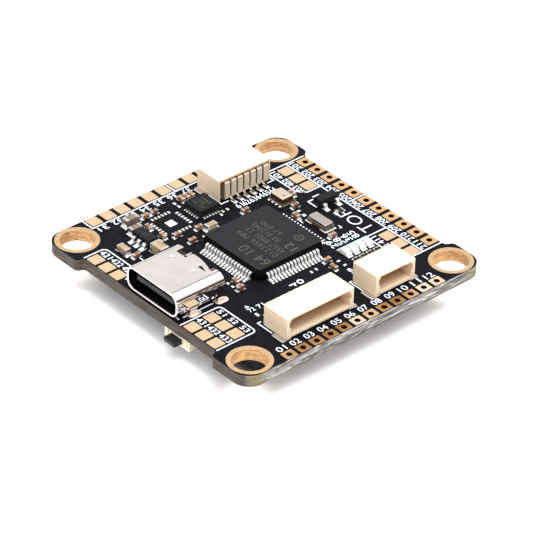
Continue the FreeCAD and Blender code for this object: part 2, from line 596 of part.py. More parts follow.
tg = tongue_plan(0, 0, uz1 - 0.95).extrude(V(0, 0, 0.95))
tg = soften(tg, 0.27, lambda e: e.BoundBox.ZMin > uz1 - 0.001 and e.BoundBox.YMax > -10.25)
tg = tg.cut(Part.makeBox(8, 0.001 + 0.5, 2, V(-3, -10.60 - 0.5, uz1 - 2 - usb_wall)))
hollow = tongue_plan(usb_wall, usb_wall, uz1 - 2.0)
hollow = hollow.extrude(V(0, 0, 2.0 - usb_wall))
tg = tg.cut(hollow).cut(box(-1.21 + usb_wall, 2.69 - usb_wall, -11.2, -10.55, uz1 - 2.0, uz1 - usb_wall))
shell = shell.cut(box(-1.21, 2.69, -10.60, -9.0, uz1 - 0.5, uz1 + 0.5)).fuse(tg)
shell = shell.cut([cyl(-1.16, -10.74, uz1 - 0.6, uz1 + 0.5, 0.20), tear])
# two press dimples in the top
for x in (-2.12, 1.62):
    shell = shell.cut(Part.makeSphere(0.55, V(x, -11.95, uz1 + 0.47)))
# four soldered legs in plated slots
legs = []
for s in (-1, 1):
    for yc, ly in ((-14.30, 1.10), (-10.27, 1.05)):
        xo = usb_cx + s * usb_w / 2
        lx0, lx1 = (xo - usb_wall, xo) if s > 0 else (xo, xo + usb_wall)
        ztop = uz0 + 1.35 if yc < -12 else uzc + 0.35
        legs.append(box(lx0, lx1, yc - ly / 2, yc + ly / 2, 0.25, ztop))
        lc = xo - s * usb_wall / 2
        # plated slot
        sw_, sl_ = 0.46, ly + 0.16
        drill.append(rr_wire(lc, yc, sw_ + 0.12, sl_ + 0.12, 0.29, 0))
        for lst in (top_open, bot_open):
            lst.append(lambda z, a=(lc + s * 0.06, yc, 1.20, ly + 0.72, 0.5): rr_wire(*a, z))
        t = slab([rr_wire(lc + s * 0.06, yc, 1.20, ly + 0.72, 0.5, zt - mask_t), rr_wire(lc, yc, sw_, sl_, 0.22, zt - mask_t)], mask_t + pad_proud)
        b = slab([rr_wire(lc + s * 0.06, yc, 1.20, ly + 0.72, 0.5, pb), rr_wire(lc, yc, sw_, sl_, 0.22, pb)], mask_t + pad_proud)
        m = slab([rr_wire(lc, yc, sw_ + 0.12, sl_ + 0.12, 0.29, mask_t), rr_wire(lc, yc, sw_, sl_, 0.22, mask_t)], zt - 2 * mask_t)
        put("usb_anchor_pads", t.fuse([m, b]).removeSplitter())
shell = shell.fuse(legs).removeSplitter()
put("usb_shell", shell)
# moulding with the tongue that the plug slides over
block = stadium(usb_w - 2 * usb_wall, usb_h - 2 * usb_wall, usb_r - usb_wall, -11.70, u_body_end)
block = block.fuse(box(usb_cx - 3.6, usb_cx + 3.6, u_body_end, -10.05, uz0 + 0.12, uz1 - usb_wall))
tongue = soften(box(usb_cx - 3.35, usb_cx + 3.35, -16.15, -11.70, uzc - 0.35, uzc + 0.35), 0.12,
                lambda e: e.BoundBox.YMax < -16.14)
block = block.fuse(tongue)
tails, pins = [], []
for k in range(12):
    x = usb_cx + (k - 5.5) * 0.5
    for s in (1, -1):
        z0, z1 = (uzc + 0.35 - 0.04, uzc + 0.35) if s > 0 else (uzc - 0.35, uzc - 0.35 + 0.04)
        pins.append(box(x - 0.125, x + 0.125, -15.95, -12.3, z0, z1))
tail = strip([(0.0, 0.28), (0.30, 0.28), (0.42, 0.20), (0.50, 0.09), (0.95, pad_proud + 0.06)], 0.12, 0.22)
for k in range(12):
    x = usb_cx + (k - 5.5) * 0.5
    t = tail.copy(); t.rotate(V(0, 0, 0), V(0, 0, 1), 90); t.translate(V(x, -10.05, zt))
    tails.append(t)
    land("fine_pitch_lands", x, -9.28, 0.28, 0.90)
block = block.cut(pins[0].multiFuse(pins[1:])).cut(tg).cut(shell)
put("usb_moulding", block)
put("usb_contacts", pins + tails)

# ---------------------------------------------------------------- underside parts
# The underside is worked out in top-side coordinates and turned over about Y.
def power_inductor(cx, cy):
    s, h = 5.4, 3.0
    b = cbox(cx, cy, s, 5.2, zt + 0.12, zt + h)
    b = soften(b, 0.45, lambda e: e.BoundBox.ZLength > 2)
    b = soften(b, 0.18, lambda e: e.BoundBox.ZMin > zt + h - 0.001)
    ts = []
    for q in (-1, 1):
        t = box(cx + q * 1.55 - 0.65, cx + q * 1.55 + 0.65, cy - 2.3, cy + 2.3, pt, zt + 0.12)
        ts.append(t)
        land("underside_lands", -(cx + q * 1.55), cy, 1.5, 5.0, -1, 0.06)
    put("inductor_bodies", flip(b)); put("inductor_terminals", [flip(t) for t in ts])


power_inductor(-10.2, -9.6)     # ends up at +X, -Y
power_inductor(9.6, 9.4)        # ends up at -X, +Y


def so_chip(name, cx, cy, bx, by, h, n, pitch, reach, deg=0, lw=0.35, pad=False):
    b1 = frustum(0, 0, (bx - 0.14, by - 0.14), (bx, by), zt + 0.10, zt + h * 0.5, 0.05)
    b2 = frustum(0, 0, (bx, by), (bx - 0.18, by - 0.18), zt + h * 0.5, zt + h, 0.05)
    b = b1.fuse(b2).cut(cyl(-bx / 2 + 0.62, -by / 2 + 0.62, zt + h - 0.05, zt + h + 1, 0.28))
    e = by / 2
    path = [(e, h * 0.5), (e + 0.14, h * 0.5), (e + 0.22, h * 0.45), (e + 0.27, h * 0.38), (e + 0.36, 0.22), (e + 0.42, 0.13),
            (e + 0.52, pad_proud + 0.08), (e + reach, pad_proud + 0.08)]
    lg = strip(path, 0.16, lw)
    ls = []
    for k in range(n):
        x = (k - (n - 1) / 2) * pitch
        for s in (1, -1):
            t = place(lg, 0, 0, zt, 90 if s > 0 else -90); t.translate(V(x, 0, 0)); ls.append(t)
    put(name + "_body", flip(place(b, cx, cy, 0, deg)))
    put(name + "_leads", [flip(place(l, cx, cy, 0, deg)) for l in ls])
    a = math.radians(deg)
    for k in range(n):
        for s in (1, -1):
            u, w = (k - (n - 1) / 2) * pitch, s * (e + reach - 0.30)
            X, Y = cx + u * math.cos(a) - w * math.sin(a), cy + u * math.sin(a) + w * math.cos(a)
            sx, sy = (lw + 0.12, 1.0) if deg % 180 == 0 else (1.0, lw + 0.12)
            land("underside_lands", -X, Y, sx, sy, -1)


so_chip("osd_chip", 1.2, 2.6, 9.7, 4.4, 1.10, 14, 0.65, 1.0, deg=90, lw=0.25)
so_chip("flash_chip", -6.4, 1.9, 4.9, 3.9, 1.40, 4, 1.27, 1.05, deg=90, lw=0.42)
so_chip("converter_chips", -6.2, -5.4, 2.9, 1.6, 1.10, 3, 0.95, 0.62, deg=90, lw=0.40)
so_chip("converter_chips", 5.3, 9.6, 2.9, 1.6, 1.10, 3, 0.95, 0.62, deg=90, lw=0.40)
for x, y, L, W, H, d in [(-11.2, -4.2, 3.2, 1.6, 1.6, "x"), (-11.2, -1.6, 3.2, 1.6, 1.6, "x"), (10.6, 4.0, 3.2, 1.6, 1.6, "x"),
                         (10.6, 1.4, 3.2, 1.6, 1.6, "x"), (5.4, 13.1, 2.0, 1.25, 1.25, "x"), (-6.2, -12.3, 2.0, 1.25, 1.25, "x")]:
    chip(x, y, L, W, H, d, "underside_capacitor_bodies", "underside_capacitor_caps", cap=0.45, side=-1,
         landnode="underside_lands", grow=0.4)
for x, y, d in [(6.6, -2.2, "x"), (6.6, -3.4, "x"), (6.6, -4.6, "x"), (4.9, -6.2, "y"), (6.3, -6.2, "y"), (-2.9, -5.2, "x"),
                (-2.9, -6.4, "x"), (-9.9, 5.2, "x"), (-9.9, 6.4, "x"), (-9.9, 7.6, "x"), (5.4, 6.4, "y"), (-2.0, 9.6, "x")]:
    chip(x, y, 1.0, 0.52, 0.42, d, "underside_resistor_bodies", "underside_resistor_caps", side=-1, landnode="underside_lands")

# ---------------------------------------------------------------- boot switch
# Side-push switch soldered to the underside, its button past the -Y edge.
bx0, bx1 = btn_cx - btn_w / 2, btn_cx + btn_w / 2
bz0, bz1 = btn_cz - btn_h / 2, btn_cz + btn_h / 2
cover_t = 0.12
h0 = pb                                  # sits on the lands
hz = -(sw_drop - cover_t)
house = box(sw_x0, sw_x1, sw_y0, sw_y1, hz, h0 - 0.005)
house = soften(house, 0.08, lambda e: e.BoundBox.ZLength > 1)
g = btn_gap
ch_y = -14.95                            # rear wall of the button's chamber
fl_y0, fl_y1 = -16.10, -15.55            # retaining flange on the button at rest
house = house.cut([box(bx0 - g, bx1 + g, sw_y0 - 1, ch_y, bz0 - g, bz1 + g),
                   box(bx0 - 0.45 - g, bx1 + 0.45 + g, fl_y0 - g, ch_y, bz0 - g, bz1 + g),
                   box(sw_x0 + 0.66, sw_x0 + 0.80, sw_y0 - 1, sw_y0 + 0.16, hz - 1, 1),
                   box(sw_x1 - 0.42, sw_x1 - 0.30, sw_y0 - 1, sw_y0 + 0.12, hz + 0.25, 1)])
# button: cap, stem and retaining flange in one moulding
cap_ = box(bx0, bx1, btn_front, fl_y0 + 0.05, bz0, bz1)
cap_ = soften(cap_, 0.10, lambda e: e.BoundBox.YMax < btn_front + 0.001)
btn = cap_.fuse(box(bx0 - 0.45, bx1 + 0.45, fl_y0, fl_y1, bz0, bz1)).removeSplitter()
put("boot_button", btn)
# snap dome behind the button
dome_y = fl_y1 + btn_travel + 0.03
dome = Part.Face(poly_wire([(bx0 - 0.10, ch_y, bz0), (bx0 + 0.02, ch_y, bz0), (bx0 + 0.60, dome_y + 0.06, bz0), (bx1 - 0.60, dome_y + 0.06, bz0),
                            (bx1 - 0.02, ch_y, bz0), (bx1 + 0.10, ch_y, bz0), (bx1 - 0.55, dome_y, bz0), (bx0 + 0.55, dome_y, bz0)])
                 ).extrude(V(0, 0, btn_h))
put("boot_switch_dome", dome)
cover = box(sw_x0 + 0.04, sw_x1 - 0.04, sw_y0 + 0.04, sw_y1 - 0.04, hz - cover_t, hz)
cover = soften(cover, 0.04, lambda e: e.BoundBox.ZMax < hz - cover_t + 0.001)
put("boot_switch_cover", cover)
put("boot_switch_housing", house)
for s in (-1, 1):
    xo = sw_x0 if s < 0 else sw_x1
    for yc in (-15.9, -14.2):
        a, b = (xo - 0.42, xo) if s < 0 else (xo, xo + 0.42)
        t = box(a, b, yc - 0.28, yc + 0.28, pb - 0.16, pb)
        put("boot_switch_terminals", t)
        land("underside_lands", xo + s * 0.20, yc, 0.90, 0.80, -1, 0.05)

# ---------------------------------------------------------------- board layers
lam = [outline(0.0, mask_t)]
for d in drill:
    if isinstance(d, tuple):
        lam.append(circ_wire(d[0], d[1], d[2], mask_t))
    else:
        w = d.copy(); w.translate(V(0, 0, mask_t)); lam.append(w)
put("laminate", slab(lam, zt - 2 * mask_t))
put("upper_solder_mask", slab([outline(0.02, zt - mask_t)] + [f(zt - mask_t) for f in top_open], mask_t))
put("lower_solder_mask", slab([outline(0.02, 0.0)] + [f(0.0) for f in bot_open], mask_t))

# ---------------------------------------------------------------- export
os.makedirs("parts", exist_ok=True)
for f in os.listdir("parts"):
    if f.endswith(".step"):
        os.remove(os.path.join("parts", f))
total = 0
for name, shapes in sorted(NODES.items()):
    solids = []
    for s in shapes:
        solids.extend(s.Solids)
    bad = [i for i, s in enumerate(solids) if not s.isValid() or not s.isClosed() or s.Volume <= 0]
    comp = solids[0] if len(solids) == 1 else Part.makeCompound(solids)
    comp.exportStep("parts/%s.step" % name)
    bb = comp.BoundBox
    total += 1
    print("%-28s solids %3d vol %9.4f  x %7.2f %7.2f  y %7.2f %7.2f  z %6.2f %6.2f%s" % (
        name, len(solids), comp.Volume, bb.XMin, bb.XMax, bb.YMin, bb.YMax, bb.ZMin, bb.ZMax, "  BAD %s" % bad if bad else ""))
print("nodes", total)
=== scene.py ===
import bpy
import math
import random
import numpy as np
from mathutils import Matrix, Vector


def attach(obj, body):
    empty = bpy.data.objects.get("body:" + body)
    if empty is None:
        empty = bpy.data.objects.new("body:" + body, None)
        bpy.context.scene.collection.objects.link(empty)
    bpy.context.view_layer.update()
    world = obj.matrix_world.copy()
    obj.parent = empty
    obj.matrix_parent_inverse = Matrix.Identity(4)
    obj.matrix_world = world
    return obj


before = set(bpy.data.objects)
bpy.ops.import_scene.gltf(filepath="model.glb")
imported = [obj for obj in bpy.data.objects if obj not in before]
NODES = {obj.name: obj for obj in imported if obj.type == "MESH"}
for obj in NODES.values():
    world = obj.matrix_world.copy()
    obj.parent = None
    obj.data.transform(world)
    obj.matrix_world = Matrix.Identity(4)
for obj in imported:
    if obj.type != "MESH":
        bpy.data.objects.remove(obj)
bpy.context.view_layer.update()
rng = random.Random(7)

MM = 0.001
ZT = 1.5                 # board top
MASK_TOP = 1.5
PAD_TOP = 1.515
PAD_BOT = -0.015
BODY = "board"

# ------------------------------------------------------------------ node trees


class Tree:
    """Small helper that builds one procedural material."""

    def __init__(self, name):
        self.m = bpy.data.materials.new(name)
        self.m.use_nodes = True
        self.t = self.m.node_tree
        self.t.nodes.clear()
        self.out = self.t.nodes.new("ShaderNodeOutputMaterial")
        self.b = self.t.nodes.new("ShaderNodeBsdfPrincipled")
        self.t.links.new(self.b.outputs[0], self.out.inputs[0])
        self.co = self.t.nodes.new("ShaderNodeTexCoord").outputs["Object"]

    def n(self, kind, **kw):
        x = self.t.nodes.new(kind)
        for k, v in kw.items():
            if k.startswith("i_"):
                x.inputs[int(k[2:])].default_value = v
            else:
                setattr(x, k, v)
        return x

    def link(self, a, b):
        self.t.links.new(a, b)

    def mapped(self, scale=(1, 1, 1), rot=(0, 0, 0)):
        m = self.n("ShaderNodeMapping")
        self.link(self.co, m.inputs["Vector"])
        m.inputs["Scale"].default_value = scale
        m.inputs["Rotation"].default_value = rot
        return m.outputs[0]

    def noise(self, scale, detail=3.0, rough=0.55, vec=None, dist=0.0, lac=2.0):
        x = self.n("ShaderNodeTexNoise")
        x.inputs["Scale"].default_value = scale
        x.inputs["Detail"].default_value = detail
        x.inputs["Roughness"].default_value = rough
        x.inputs["Distortion"].default_value = dist
        x.inputs["Lacunarity"].default_value = lac
        self.link(vec or self.co, x.inputs["Vector"])
        return x.outputs["Fac"]

    def voronoi(self, scale, feature="F1", vec=None):
        x = self.n("ShaderNodeTexVoronoi", feature=feature)
        x.inputs["Scale"].default_value = scale
        self.link(vec or self.co, x.inputs["Vector"])
        return x.outputs["Distance"]

    def ramp(self, fac, stops, mode="LINEAR"):
        x = self.n("ShaderNodeValToRGB")
        x.color_ramp.interpolation = mode
        els = x.color_ramp.elements
        while len(els) > 1:
            els.remove(els[-1])
        els[0].position = stops[0][0]
        els[0].color = col(stops[0][1])
        for p, c in stops[1:]:
            e = els.new(p)
            e.color = col(c)
        self.link(fac, x.inputs[0])
        return x.outputs[0]

    def remap(self, fac, lo, hi, a=0.0, b=1.0):
        x = self.n("ShaderNodeMapRange")
        x.inputs["From Min"].default_value = lo
        x.inputs["From Max"].default_value = hi
        x.inputs["To Min"].default_value = a
        x.inputs["To Max"].default_value = b
        self.link(fac, x.inputs["Value"])
        return x.outputs[0]

    def math(self, op, a, b=None, c=None):
        x = self.n("ShaderNodeMath", operation=op)
        for i, v in enumerate((a, b, c)):
            if v is None:
                continue
            if isinstance(v, (int, float)):
                x.inputs[i].default_value = v
            else:
                self.link(v, x.inputs[i])
        return x.outputs[0]

    def mix(self, fac, a, b, mode="MIX"):
        x = self.n("ShaderNodeMix", data_type="RGBA", blend_type=mode)
        for sock, v in ((x.inputs[0], fac), (x.inputs[6], a), (x.inputs[7], b)):
            if isinstance(v, (int, float)):
                sock.default_value = v
            elif isinstance(v, (tuple, list)):
                sock.default_value = col(v)
            else:
                self.link(v, sock)
        return x.outputs[2]

    def axis(self, i):
        x = self.n("ShaderNodeSeparateXYZ")
        self.link(self.co, x.inputs[0])
        return x.outputs[i]

    def set(self, name, v):
        s = self.b.inputs[name]
        if isinstance(v, (int, float)):
            s.default_value = v
        elif isinstance(v, (tuple, list)):
            s.default_value = col(v)
        else:
            self.link(v, s)

    def bump(self, height, strength=0.3, dist=0.00002, prev=None):
        x = self.n("ShaderNodeBump")
        x.inputs["Strength"].default_value = strength
        x.inputs["Distance"].default_value = dist
        self.link(height, x.inputs["Height"])
        if prev is not None:
            self.link(prev, x.inputs["Normal"])
        self.link(x.outputs[0], self.b.inputs["Normal"])
        return x.outputs[0]


def col(c):
    return (c[0], c[1], c[2], 1.0) if len(c) == 3 else tuple(c)


def srgb(r, g, b):
    f = lambda v: (v / 255 / 12.92) if v / 255 <= 0.04045 else ((v / 255 + 0.055) / 1.055) ** 2.4
    return (f(r), f(g), f(b))


def shade(c, k):
    return tuple(min(1.0, v * k) for v in c[:3])


MATS = {}


def plastic(name, c, rough=0.5, grain=60000, amount=0.10, bump=0.25, spec=0.5, depth=0.000006, sss=0.0, large=900):
    t = Tree(name)
    fine = t.noise(grain, 4.0, 0.6)
    big = t.noise(large, 2.0, 0.5)
    tone = t.mix(t.remap(fine, 0.3, 0.7), shade(c, 1 - amount), shade(c, 1 + amount))
    tone = t.mix(t.remap(big, 0.35, 0.65), tone, shade(c, 1 - amount * 0.6))
    t.set("Base Color", tone)
    t.set("Roughness", t.remap(big, 0.3, 0.7, max(0.02, rough - 0.07), min(1, rough + 0.07)))
    t.set("Specular IOR Level", spec)
    if sss:
        t.set("Subsurface Weight", sss)
        t.b.inputs["Subsurface Radius"].default_value = (1.0, 0.75, 0.5)
        t.b.inputs["Subsurface Scale"].default_value = 0.0006
    t.bump(fine, bump, depth)
    MATS[name] = t.m
    return t


def metal(name, c, rough=0.3, grain=30000, amount=0.08, bump=0.2, depth=0.000005, stretch=None, large=1200, share=1.0):
    t = Tree(name)
    vec = t.mapped(stretch) if stretch else None
    fine = t.noise(grain, 3.0, 0.6, vec)
    big = t.noise(large, 3.0, 0.6)
    tone = t.mix(t.remap(fine, 0.3, 0.7), shade(c, 1 - amount), shade(c, 1 + amount * 0.5))
    tone = t.mix(t.remap(big, 0.4, 0.75), tone, shade(c, 1 - amount * 1.2))
    t.set("Base Color", tone)
    t.set("Metallic", share)
    t.set("Roughness", t.remap(big, 0.3, 0.7, max(0.03, rough - 0.08), min(1, rough + 0.08)))
    t.bump(fine, bump, depth)
    MATS[name] = t.m
    return t


# solder mask: near-black with a blue cast, faint orange-peel
t = Tree("solder_mask")
fine = t.noise(26000, 3.0, 0.55)
big = t.noise(420, 2.0, 0.5)
c0 = srgb(18, 18, 23)
t.set("Base Color", t.mix(t.remap(big, 0.35, 0.65), shade(c0, 0.86), shade(c0, 1.16)))
t.set("Roughness", t.remap(fine, 0.3, 0.7, 0.26, 0.40))
t.set("Specular IOR Level", 0.03)
t.bump(fine, 0.35, 0.000004)
MATS["solder_mask"] = t.m

t = Tree("solder_mask_over_copper")
fine = t.noise(26000, 3.0, 0.55)
c0 = srgb(21, 21, 26)
t.set("Base Color", t.mix(t.remap(t.noise(700, 2.0), 0.35, 0.65), shade(c0, 0.9), shade(c0, 1.15)))
t.set("Roughness", t.remap(fine, 0.3, 0.7, 0.26, 0.38))
t.set("Specular IOR Level", 0.05)
t.bump(fine, 0.3, 0.000004)
MATS["solder_mask_over_copper"] = t.m

# glass-epoxy edge: woven layers seen end-on, streaked along the edge; the +X side is painted light with near-white
# highlight streaks, the -Y side painted shade
t = Tree("laminate")
z = t.axis(2)
streak = t.noise(300, 2.6, 0.62, t.mapped((1.0, 1.0, 13.0), (0.04, 0.0, 0.0)), 1.4)
layer = t.n("ShaderNodeTexWave", wave_type="BANDS", bands_direction="Z", wave_profile="SIN")
layer.inputs["Scale"].default_value = 1150
layer.inputs["Distortion"].default_value = 2.2
layer.inputs["Detail"].default_value = 3.0
layer.inputs["Detail Scale"].default_value = 1.6
t.link(t.mapped((1, 1, 1)), layer.inputs["Vector"])
fib = t.noise(9000, 3.0, 0.7, t.mapped((1.0, 1.0, 6.0)))
xx = t.axis(0)
yy = t.axis(1)
# painted light: a pale ramp up to near white as painted highlights for the +X side, a dark brown as painted shade for
# the -Y side
lit_side_streaks = t.ramp(streak, [(0.32, srgb(58, 51, 46)), (0.42, srgb(104, 98, 92)), (0.50, srgb(146, 142, 138)), (0.58, srgb(184, 182, 179)), (0.66, srgb(226, 225, 223)), (0.76, srgb(249, 249, 248))])
shaded_side_tone = t.ramp(streak, [(0.30, srgb(60, 52, 47)), (0.5, srgb(84, 75, 69)), (0.7, srgb(108, 99, 92))])
olive = t.ramp(streak, [(0.30, srgb(100, 92, 62)), (0.5, srgb(138, 129, 96)), (0.7, srgb(172, 165, 138))])
side = t.remap(xx, 0.0170, 0.01775)
corner_y = t.math("ABSOLUTE", yy)
corner = t.remap(corner_y, 0.0142, 0.0162)
edge = t.mix(side, shaded_side_tone, lit_side_streaks)
edge = t.mix(t.math("MULTIPLY", corner, side), edge, olive)
left = t.remap(xx, -0.0170, -0.01775)
edge = t.mix(left, edge, olive)
edge = t.mix(t.remap(layer.outputs["Fac"], 0.2, 0.8, 0.0, 0.22), edge, srgb(72, 66, 60))
low = t.remap(z, 0.00030, 0.00014)
edge = t.mix(t.math("MULTIPLY", low, 0.55), edge, srgb(88, 82, 66))
t.set("Base Color", edge)
t.set("Roughness", t.remap(fib, 0.3, 0.7, 0.42, 0.66))
t.set("Specular IOR Level", 0.14)
t.bump(t.math("ADD", fib, streak), 0.5, 0.00003)
MATS["laminate"] = t.m


def gold(name, light, dark, specks=True, rough=0.34, reflection_ybands=None):
    t = Tree(name)
    fine = t.noise(34000, 4.0, 0.62)
    mid = t.noise(3600, 3.0, 0.6)
    tone = t.mix(t.remap(mid, 0.32, 0.68), light, dark)
    # painted reflections: per-pad brightness bands along y
    if reflection_ybands:
        ramp = t.ramp(t.remap(t.axis(1), reflection_ybands[0], reflection_ybands[1]), reflection_ybands[2], "CONSTANT")
        tone = t.mix(1.0, tone, ramp, "MULTIPLY")
    if specks:
        v = t.voronoi(1500)
        gate = t.noise(520, 1.0, 0.5)
        s = t.math("MULTIPLY", t.remap(v, 0.115, 0.06), t.remap(gate, 0.52, 0.60))
        tone = t.mix(t.math("MULTIPLY", s, 0.9), tone, srgb(92, 52, 28))
        t.set("Metallic", t.remap(s, 0.0, 1.0, 0.85, 0.3))
    else:
        t.set("Metallic", 0.85)
    zz = t.axis(2)
    # painted shade: the drilled wall below the pad top goes dark brown
    bore_shade = t.math("MULTIPLY", t.remap(zz, 0.001496, 0.001470), t.remap(zz, 0.000004, 0.000030))
    tone = t.mix(bore_shade, tone, t.mix(t.remap(mid, 0.4, 0.6), srgb(112, 62, 34), srgb(70, 38, 22)))
    t.set("Base Color", tone)
    t.set("Roughness", t.remap(fine, 0.3, 0.7, rough - 0.06, rough + 0.10))
    t.bump(t.math("ADD", fine, t.math("MULTIPLY", mid, 1.4)), 0.5, 0.000008)
    MATS[name] = t.m
    return t


GOLD_L, GOLD_D = srgb(232, 204, 170), srgb(224, 190, 152)
gold("gold_pads", GOLD_L, GOLD_D)
metal("anchor_plating", srgb(250, 238, 226), 0.28, 26000, 0.08, 0.4, 0.000008, share=0.7)
gold("gold_back_pads", srgb(230, 192, 144), srgb(217, 170, 120), specks=False)
# painted reflections: each of the twelve side pads gets its own brightness, some above the plain gold as painted
# highlights
bands = []
pad_reflection_tones = [0.80, 0.66, 0.70, 0.61, 0.62, 1.15, 0.93, 0.68, 0.62, 0.82, 1.18, 1.10]
for k in range(12):
    v = pad_reflection_tones[k]
    bands.append((max(0.0, k / 12.0), (v, v ** 1.5, v ** 2.4)))
gold("gold_side_pads", GOLD_L, GOLD_D, reflection_ybands=(-0.011200 - 0.001015, -0.0112 + 0.00203 * 11.5, bands))

# ring barrels: drilled wall with a rough, rippled plating; the ripples are painted from dark brown shade to near-white
# highlights
t = Tree("gold_rings")
zz = t.axis(2)
wall = t.noise(620, 5.0, 0.72, t.mapped((1.0, 1.0, 9.0)), 1.6)
fine = t.noise(30000, 4.0, 0.6)
inside = t.math("MULTIPLY", t.remap(zz, 0.001497, 0.001485), t.remap(zz, 0.000003, 0.000015))
flat = t.mix(t.remap(t.noise(3000, 3.0, 0.6), 0.3, 0.7), srgb(221, 190, 148), srgb(206, 172, 130))
# painted shade and painted highlights on the rippled wall
ripple_shade_and_highlights = t.ramp(wall, [(0.30, srgb(112, 70, 38)), (0.42, srgb(192, 138, 84)), (0.52, srgb(238, 190, 130)), (0.70, srgb(255, 230, 188))])
t.set("Base Color", t.mix(inside, flat, ripple_shade_and_highlights))
t.set("Metallic", t.remap(inside, 0.0, 1.0, 0.9, 0.45))
t.set("Roughness", t.remap(fine, 0.3, 0.7, 0.26, 0.42))
t.bump(t.math("ADD", fine, t.math("MULTIPLY", t.math("MULTIPLY", wall, inside), 14.0)), 0.8, 0.000014)
MATS["gold_rings"] = t.m

metal("tinned_lands", srgb(226, 219, 213), 0.28, 22000, 0.06, 0.35, 0.000008, share=0.55)
metal("solder", srgb(250, 250, 250), 0.18, 9000, 0.04, 0.45, 0.000010, large=5200, share=0.65)
metal("tinned_lead", srgb(248, 248, 247), 0.22, 30000, 0.04, 0.25, 0.000004, share=0.45)
metal("cap_tin", srgb(214, 205, 194), 0.28, 26000, 0.10, 0.45, 0.000008, share=0.85)
metal("header_contact", srgb(176, 168, 158), 0.22, 26000, 0.10, 0.3, 0.000005, share=0.95)
metal("joint_copper", srgb(226, 196, 172), 0.34, 12000, 0.08, 0.5, 0.000010, share=0.6)
metal("contact_metal", srgb(222, 205, 170), 0.30, 26000, 0.08, 0.2, 0.000004)
metal("usb_contact_metal", srgb(150, 150, 156), 0.38, 26000, 0.08, 0.2, 0.000004)
metal("clip_metal", srgb(214, 204, 196), 0.30, 26000, 0.10, 0.3, 0.000005, stretch=(1, 5, 1))

# moulded epoxy of the large chip: frosted top; the flanks get painted shade, darkened by their normal
t = Tree("chip_epoxy")
fine = t.noise(42000, 4.0, 0.6)
cloud = t.noise(1500, 2.0, 0.5)
geo = t.n("ShaderNodeNewGeometry")
sep = t.n("ShaderNodeSeparateXYZ")
t.link(geo.outputs["Normal"], sep.inputs[0])
# painted shade: faces turned away from up go near black
flank_shade = t.remap(t.math("ABSOLUTE", sep.outputs[2]), 0.95, 0.70)
tone = t.mix(t.remap(fine, 0.3, 0.7), srgb(35, 35, 38), srgb(45, 45, 48))
tone = t.mix(t.remap(cloud, 0.4, 0.7, 0.0, 0.3), tone, srgb(31, 31, 34))
t.set("Base Color", t.mix(flank_shade, tone, srgb(15, 15, 17)))
t.set("Roughness", t.remap(fine, 0.3, 0.7, 0.46, 0.58))
t.set("Specular IOR Level", 0.06)
t.bump(fine, 0.6, 0.000010)
MATS["chip_epoxy"] = t.m
plastic("chip_epoxy_dark", srgb(31, 31, 33), 0.46, 46000, 0.22, 0.5, 0.08, 0.000008)
plastic("castellation", srgb(70, 64, 60), 0.5, 30000, 0.2, 0.4, 0.3, 0.000006)

# ivory nylon: warm, slightly translucent; the deep walls of the mouth get a painted tan shade
t = Tree("ivory_nylon")
fine = t.noise(36000, 4.0, 0.6)
big = t.noise(500, 2.0, 0.5)
X, Y, Z = t.axis(0), t.axis(1), t.axis(2)


def within(v, lo, hi, soft=0.02):
    a = t.remap(v, (lo - soft) * MM, lo * MM)
    b = t.remap(v, (hi + soft) * MM, hi * MM)
    return t.math("MULTIPLY", a, b)


# painted shade: tan inside each header mouth, growing towards the back
mouth_shade = None
for yc, half, x0, x1 in ((-4.78, 4.44, 14.95, 12.6), (6.47, 2.44, 15.10, 12.8), (6.55, 3.44, -14.75, -12.4)):
    m = t.math("MULTIPLY", within(Y, yc - half, yc + half), within(Z, 2.0, 4.14))
    m = t.math("MULTIPLY", m, t.remap(X, x0 * MM, x1 * MM, 0.0, 1.0))
    far = 11.2 if x0 > 0 else -11.6
    m = t.math("MULTIPLY", m, t.remap(X, far * MM, (far + math.copysign(0.1, x0)) * MM))
    mouth_shade = m if mouth_shade is None else t.math("MAXIMUM", mouth_shade, m)
tone = t.mix(t.remap(big, 0.35, 0.65), srgb(245, 225, 195), srgb(241, 220, 189))
tone = t.mix(t.remap(fine, 0.3, 0.7, 0.0, 0.5), tone, srgb(239, 217, 186))
tone = t.mix(t.math("MULTIPLY", mouth_shade, 0.9), tone, srgb(206, 158, 116))
# painted shade: the pockets between the rear ribs go dark brown; the rib faces themselves get a greyer tint
rear = None
rib_gap_shade = None
for yc, half, xf, sg in ((-4.78, 4.62, 10.78, 1), (6.47, 2.62, 10.93, 1), (6.55, 3.62, -10.58, -1)):
    m = t.math("MULTIPLY", within(Y, yc - half, yc + half), within(Z, 1.58, 4.08))
    f = t.math("MULTIPLY", m, t.math("MULTIPLY", t.remap(X, (xf - 0.3) * MM, (xf - 0.2) * MM), t.remap(X, (xf + 0.3) * MM, (xf + 0.2) * MM)))
    g = t.math("MULTIPLY", m, t.math("MULTIPLY", t.remap(t.math("MULTIPLY", X, sg), (xf * sg + 0.06) * MM, (xf * sg + 0.16) * MM), t.remap(t.math("MULTIPLY", X, sg), (xf * sg + 1.3) * MM, (xf * sg + 1.0) * MM)))
    rear = f if rear is None else t.math("MAXIMUM", rear, f)
    rib_gap_shade = g if rib_gap_shade is None else t.math("MAXIMUM", rib_gap_shade, g)
tone = t.mix(t.math("MULTIPLY", rear, 0.8), tone, srgb(214, 198, 176))
tone = t.mix(t.math("MULTIPLY", rib_gap_shade, 0.9), tone, srgb(92, 66, 46))
t.set("Base Color", tone)
t.set("Roughness", t.remap(big, 0.3, 0.7, 0.36, 0.48))
t.set("Specular IOR Level", 0.40)
t.set("Subsurface Weight", 0.10)
t.b.inputs["Subsurface Radius"].default_value = (1.0, 0.7, 0.45)
t.b.inputs["Subsurface Scale"].default_value = 0.0005
t.bump(fine, 0.35, 0.000006)
MATS["ivory_nylon"] = t.m
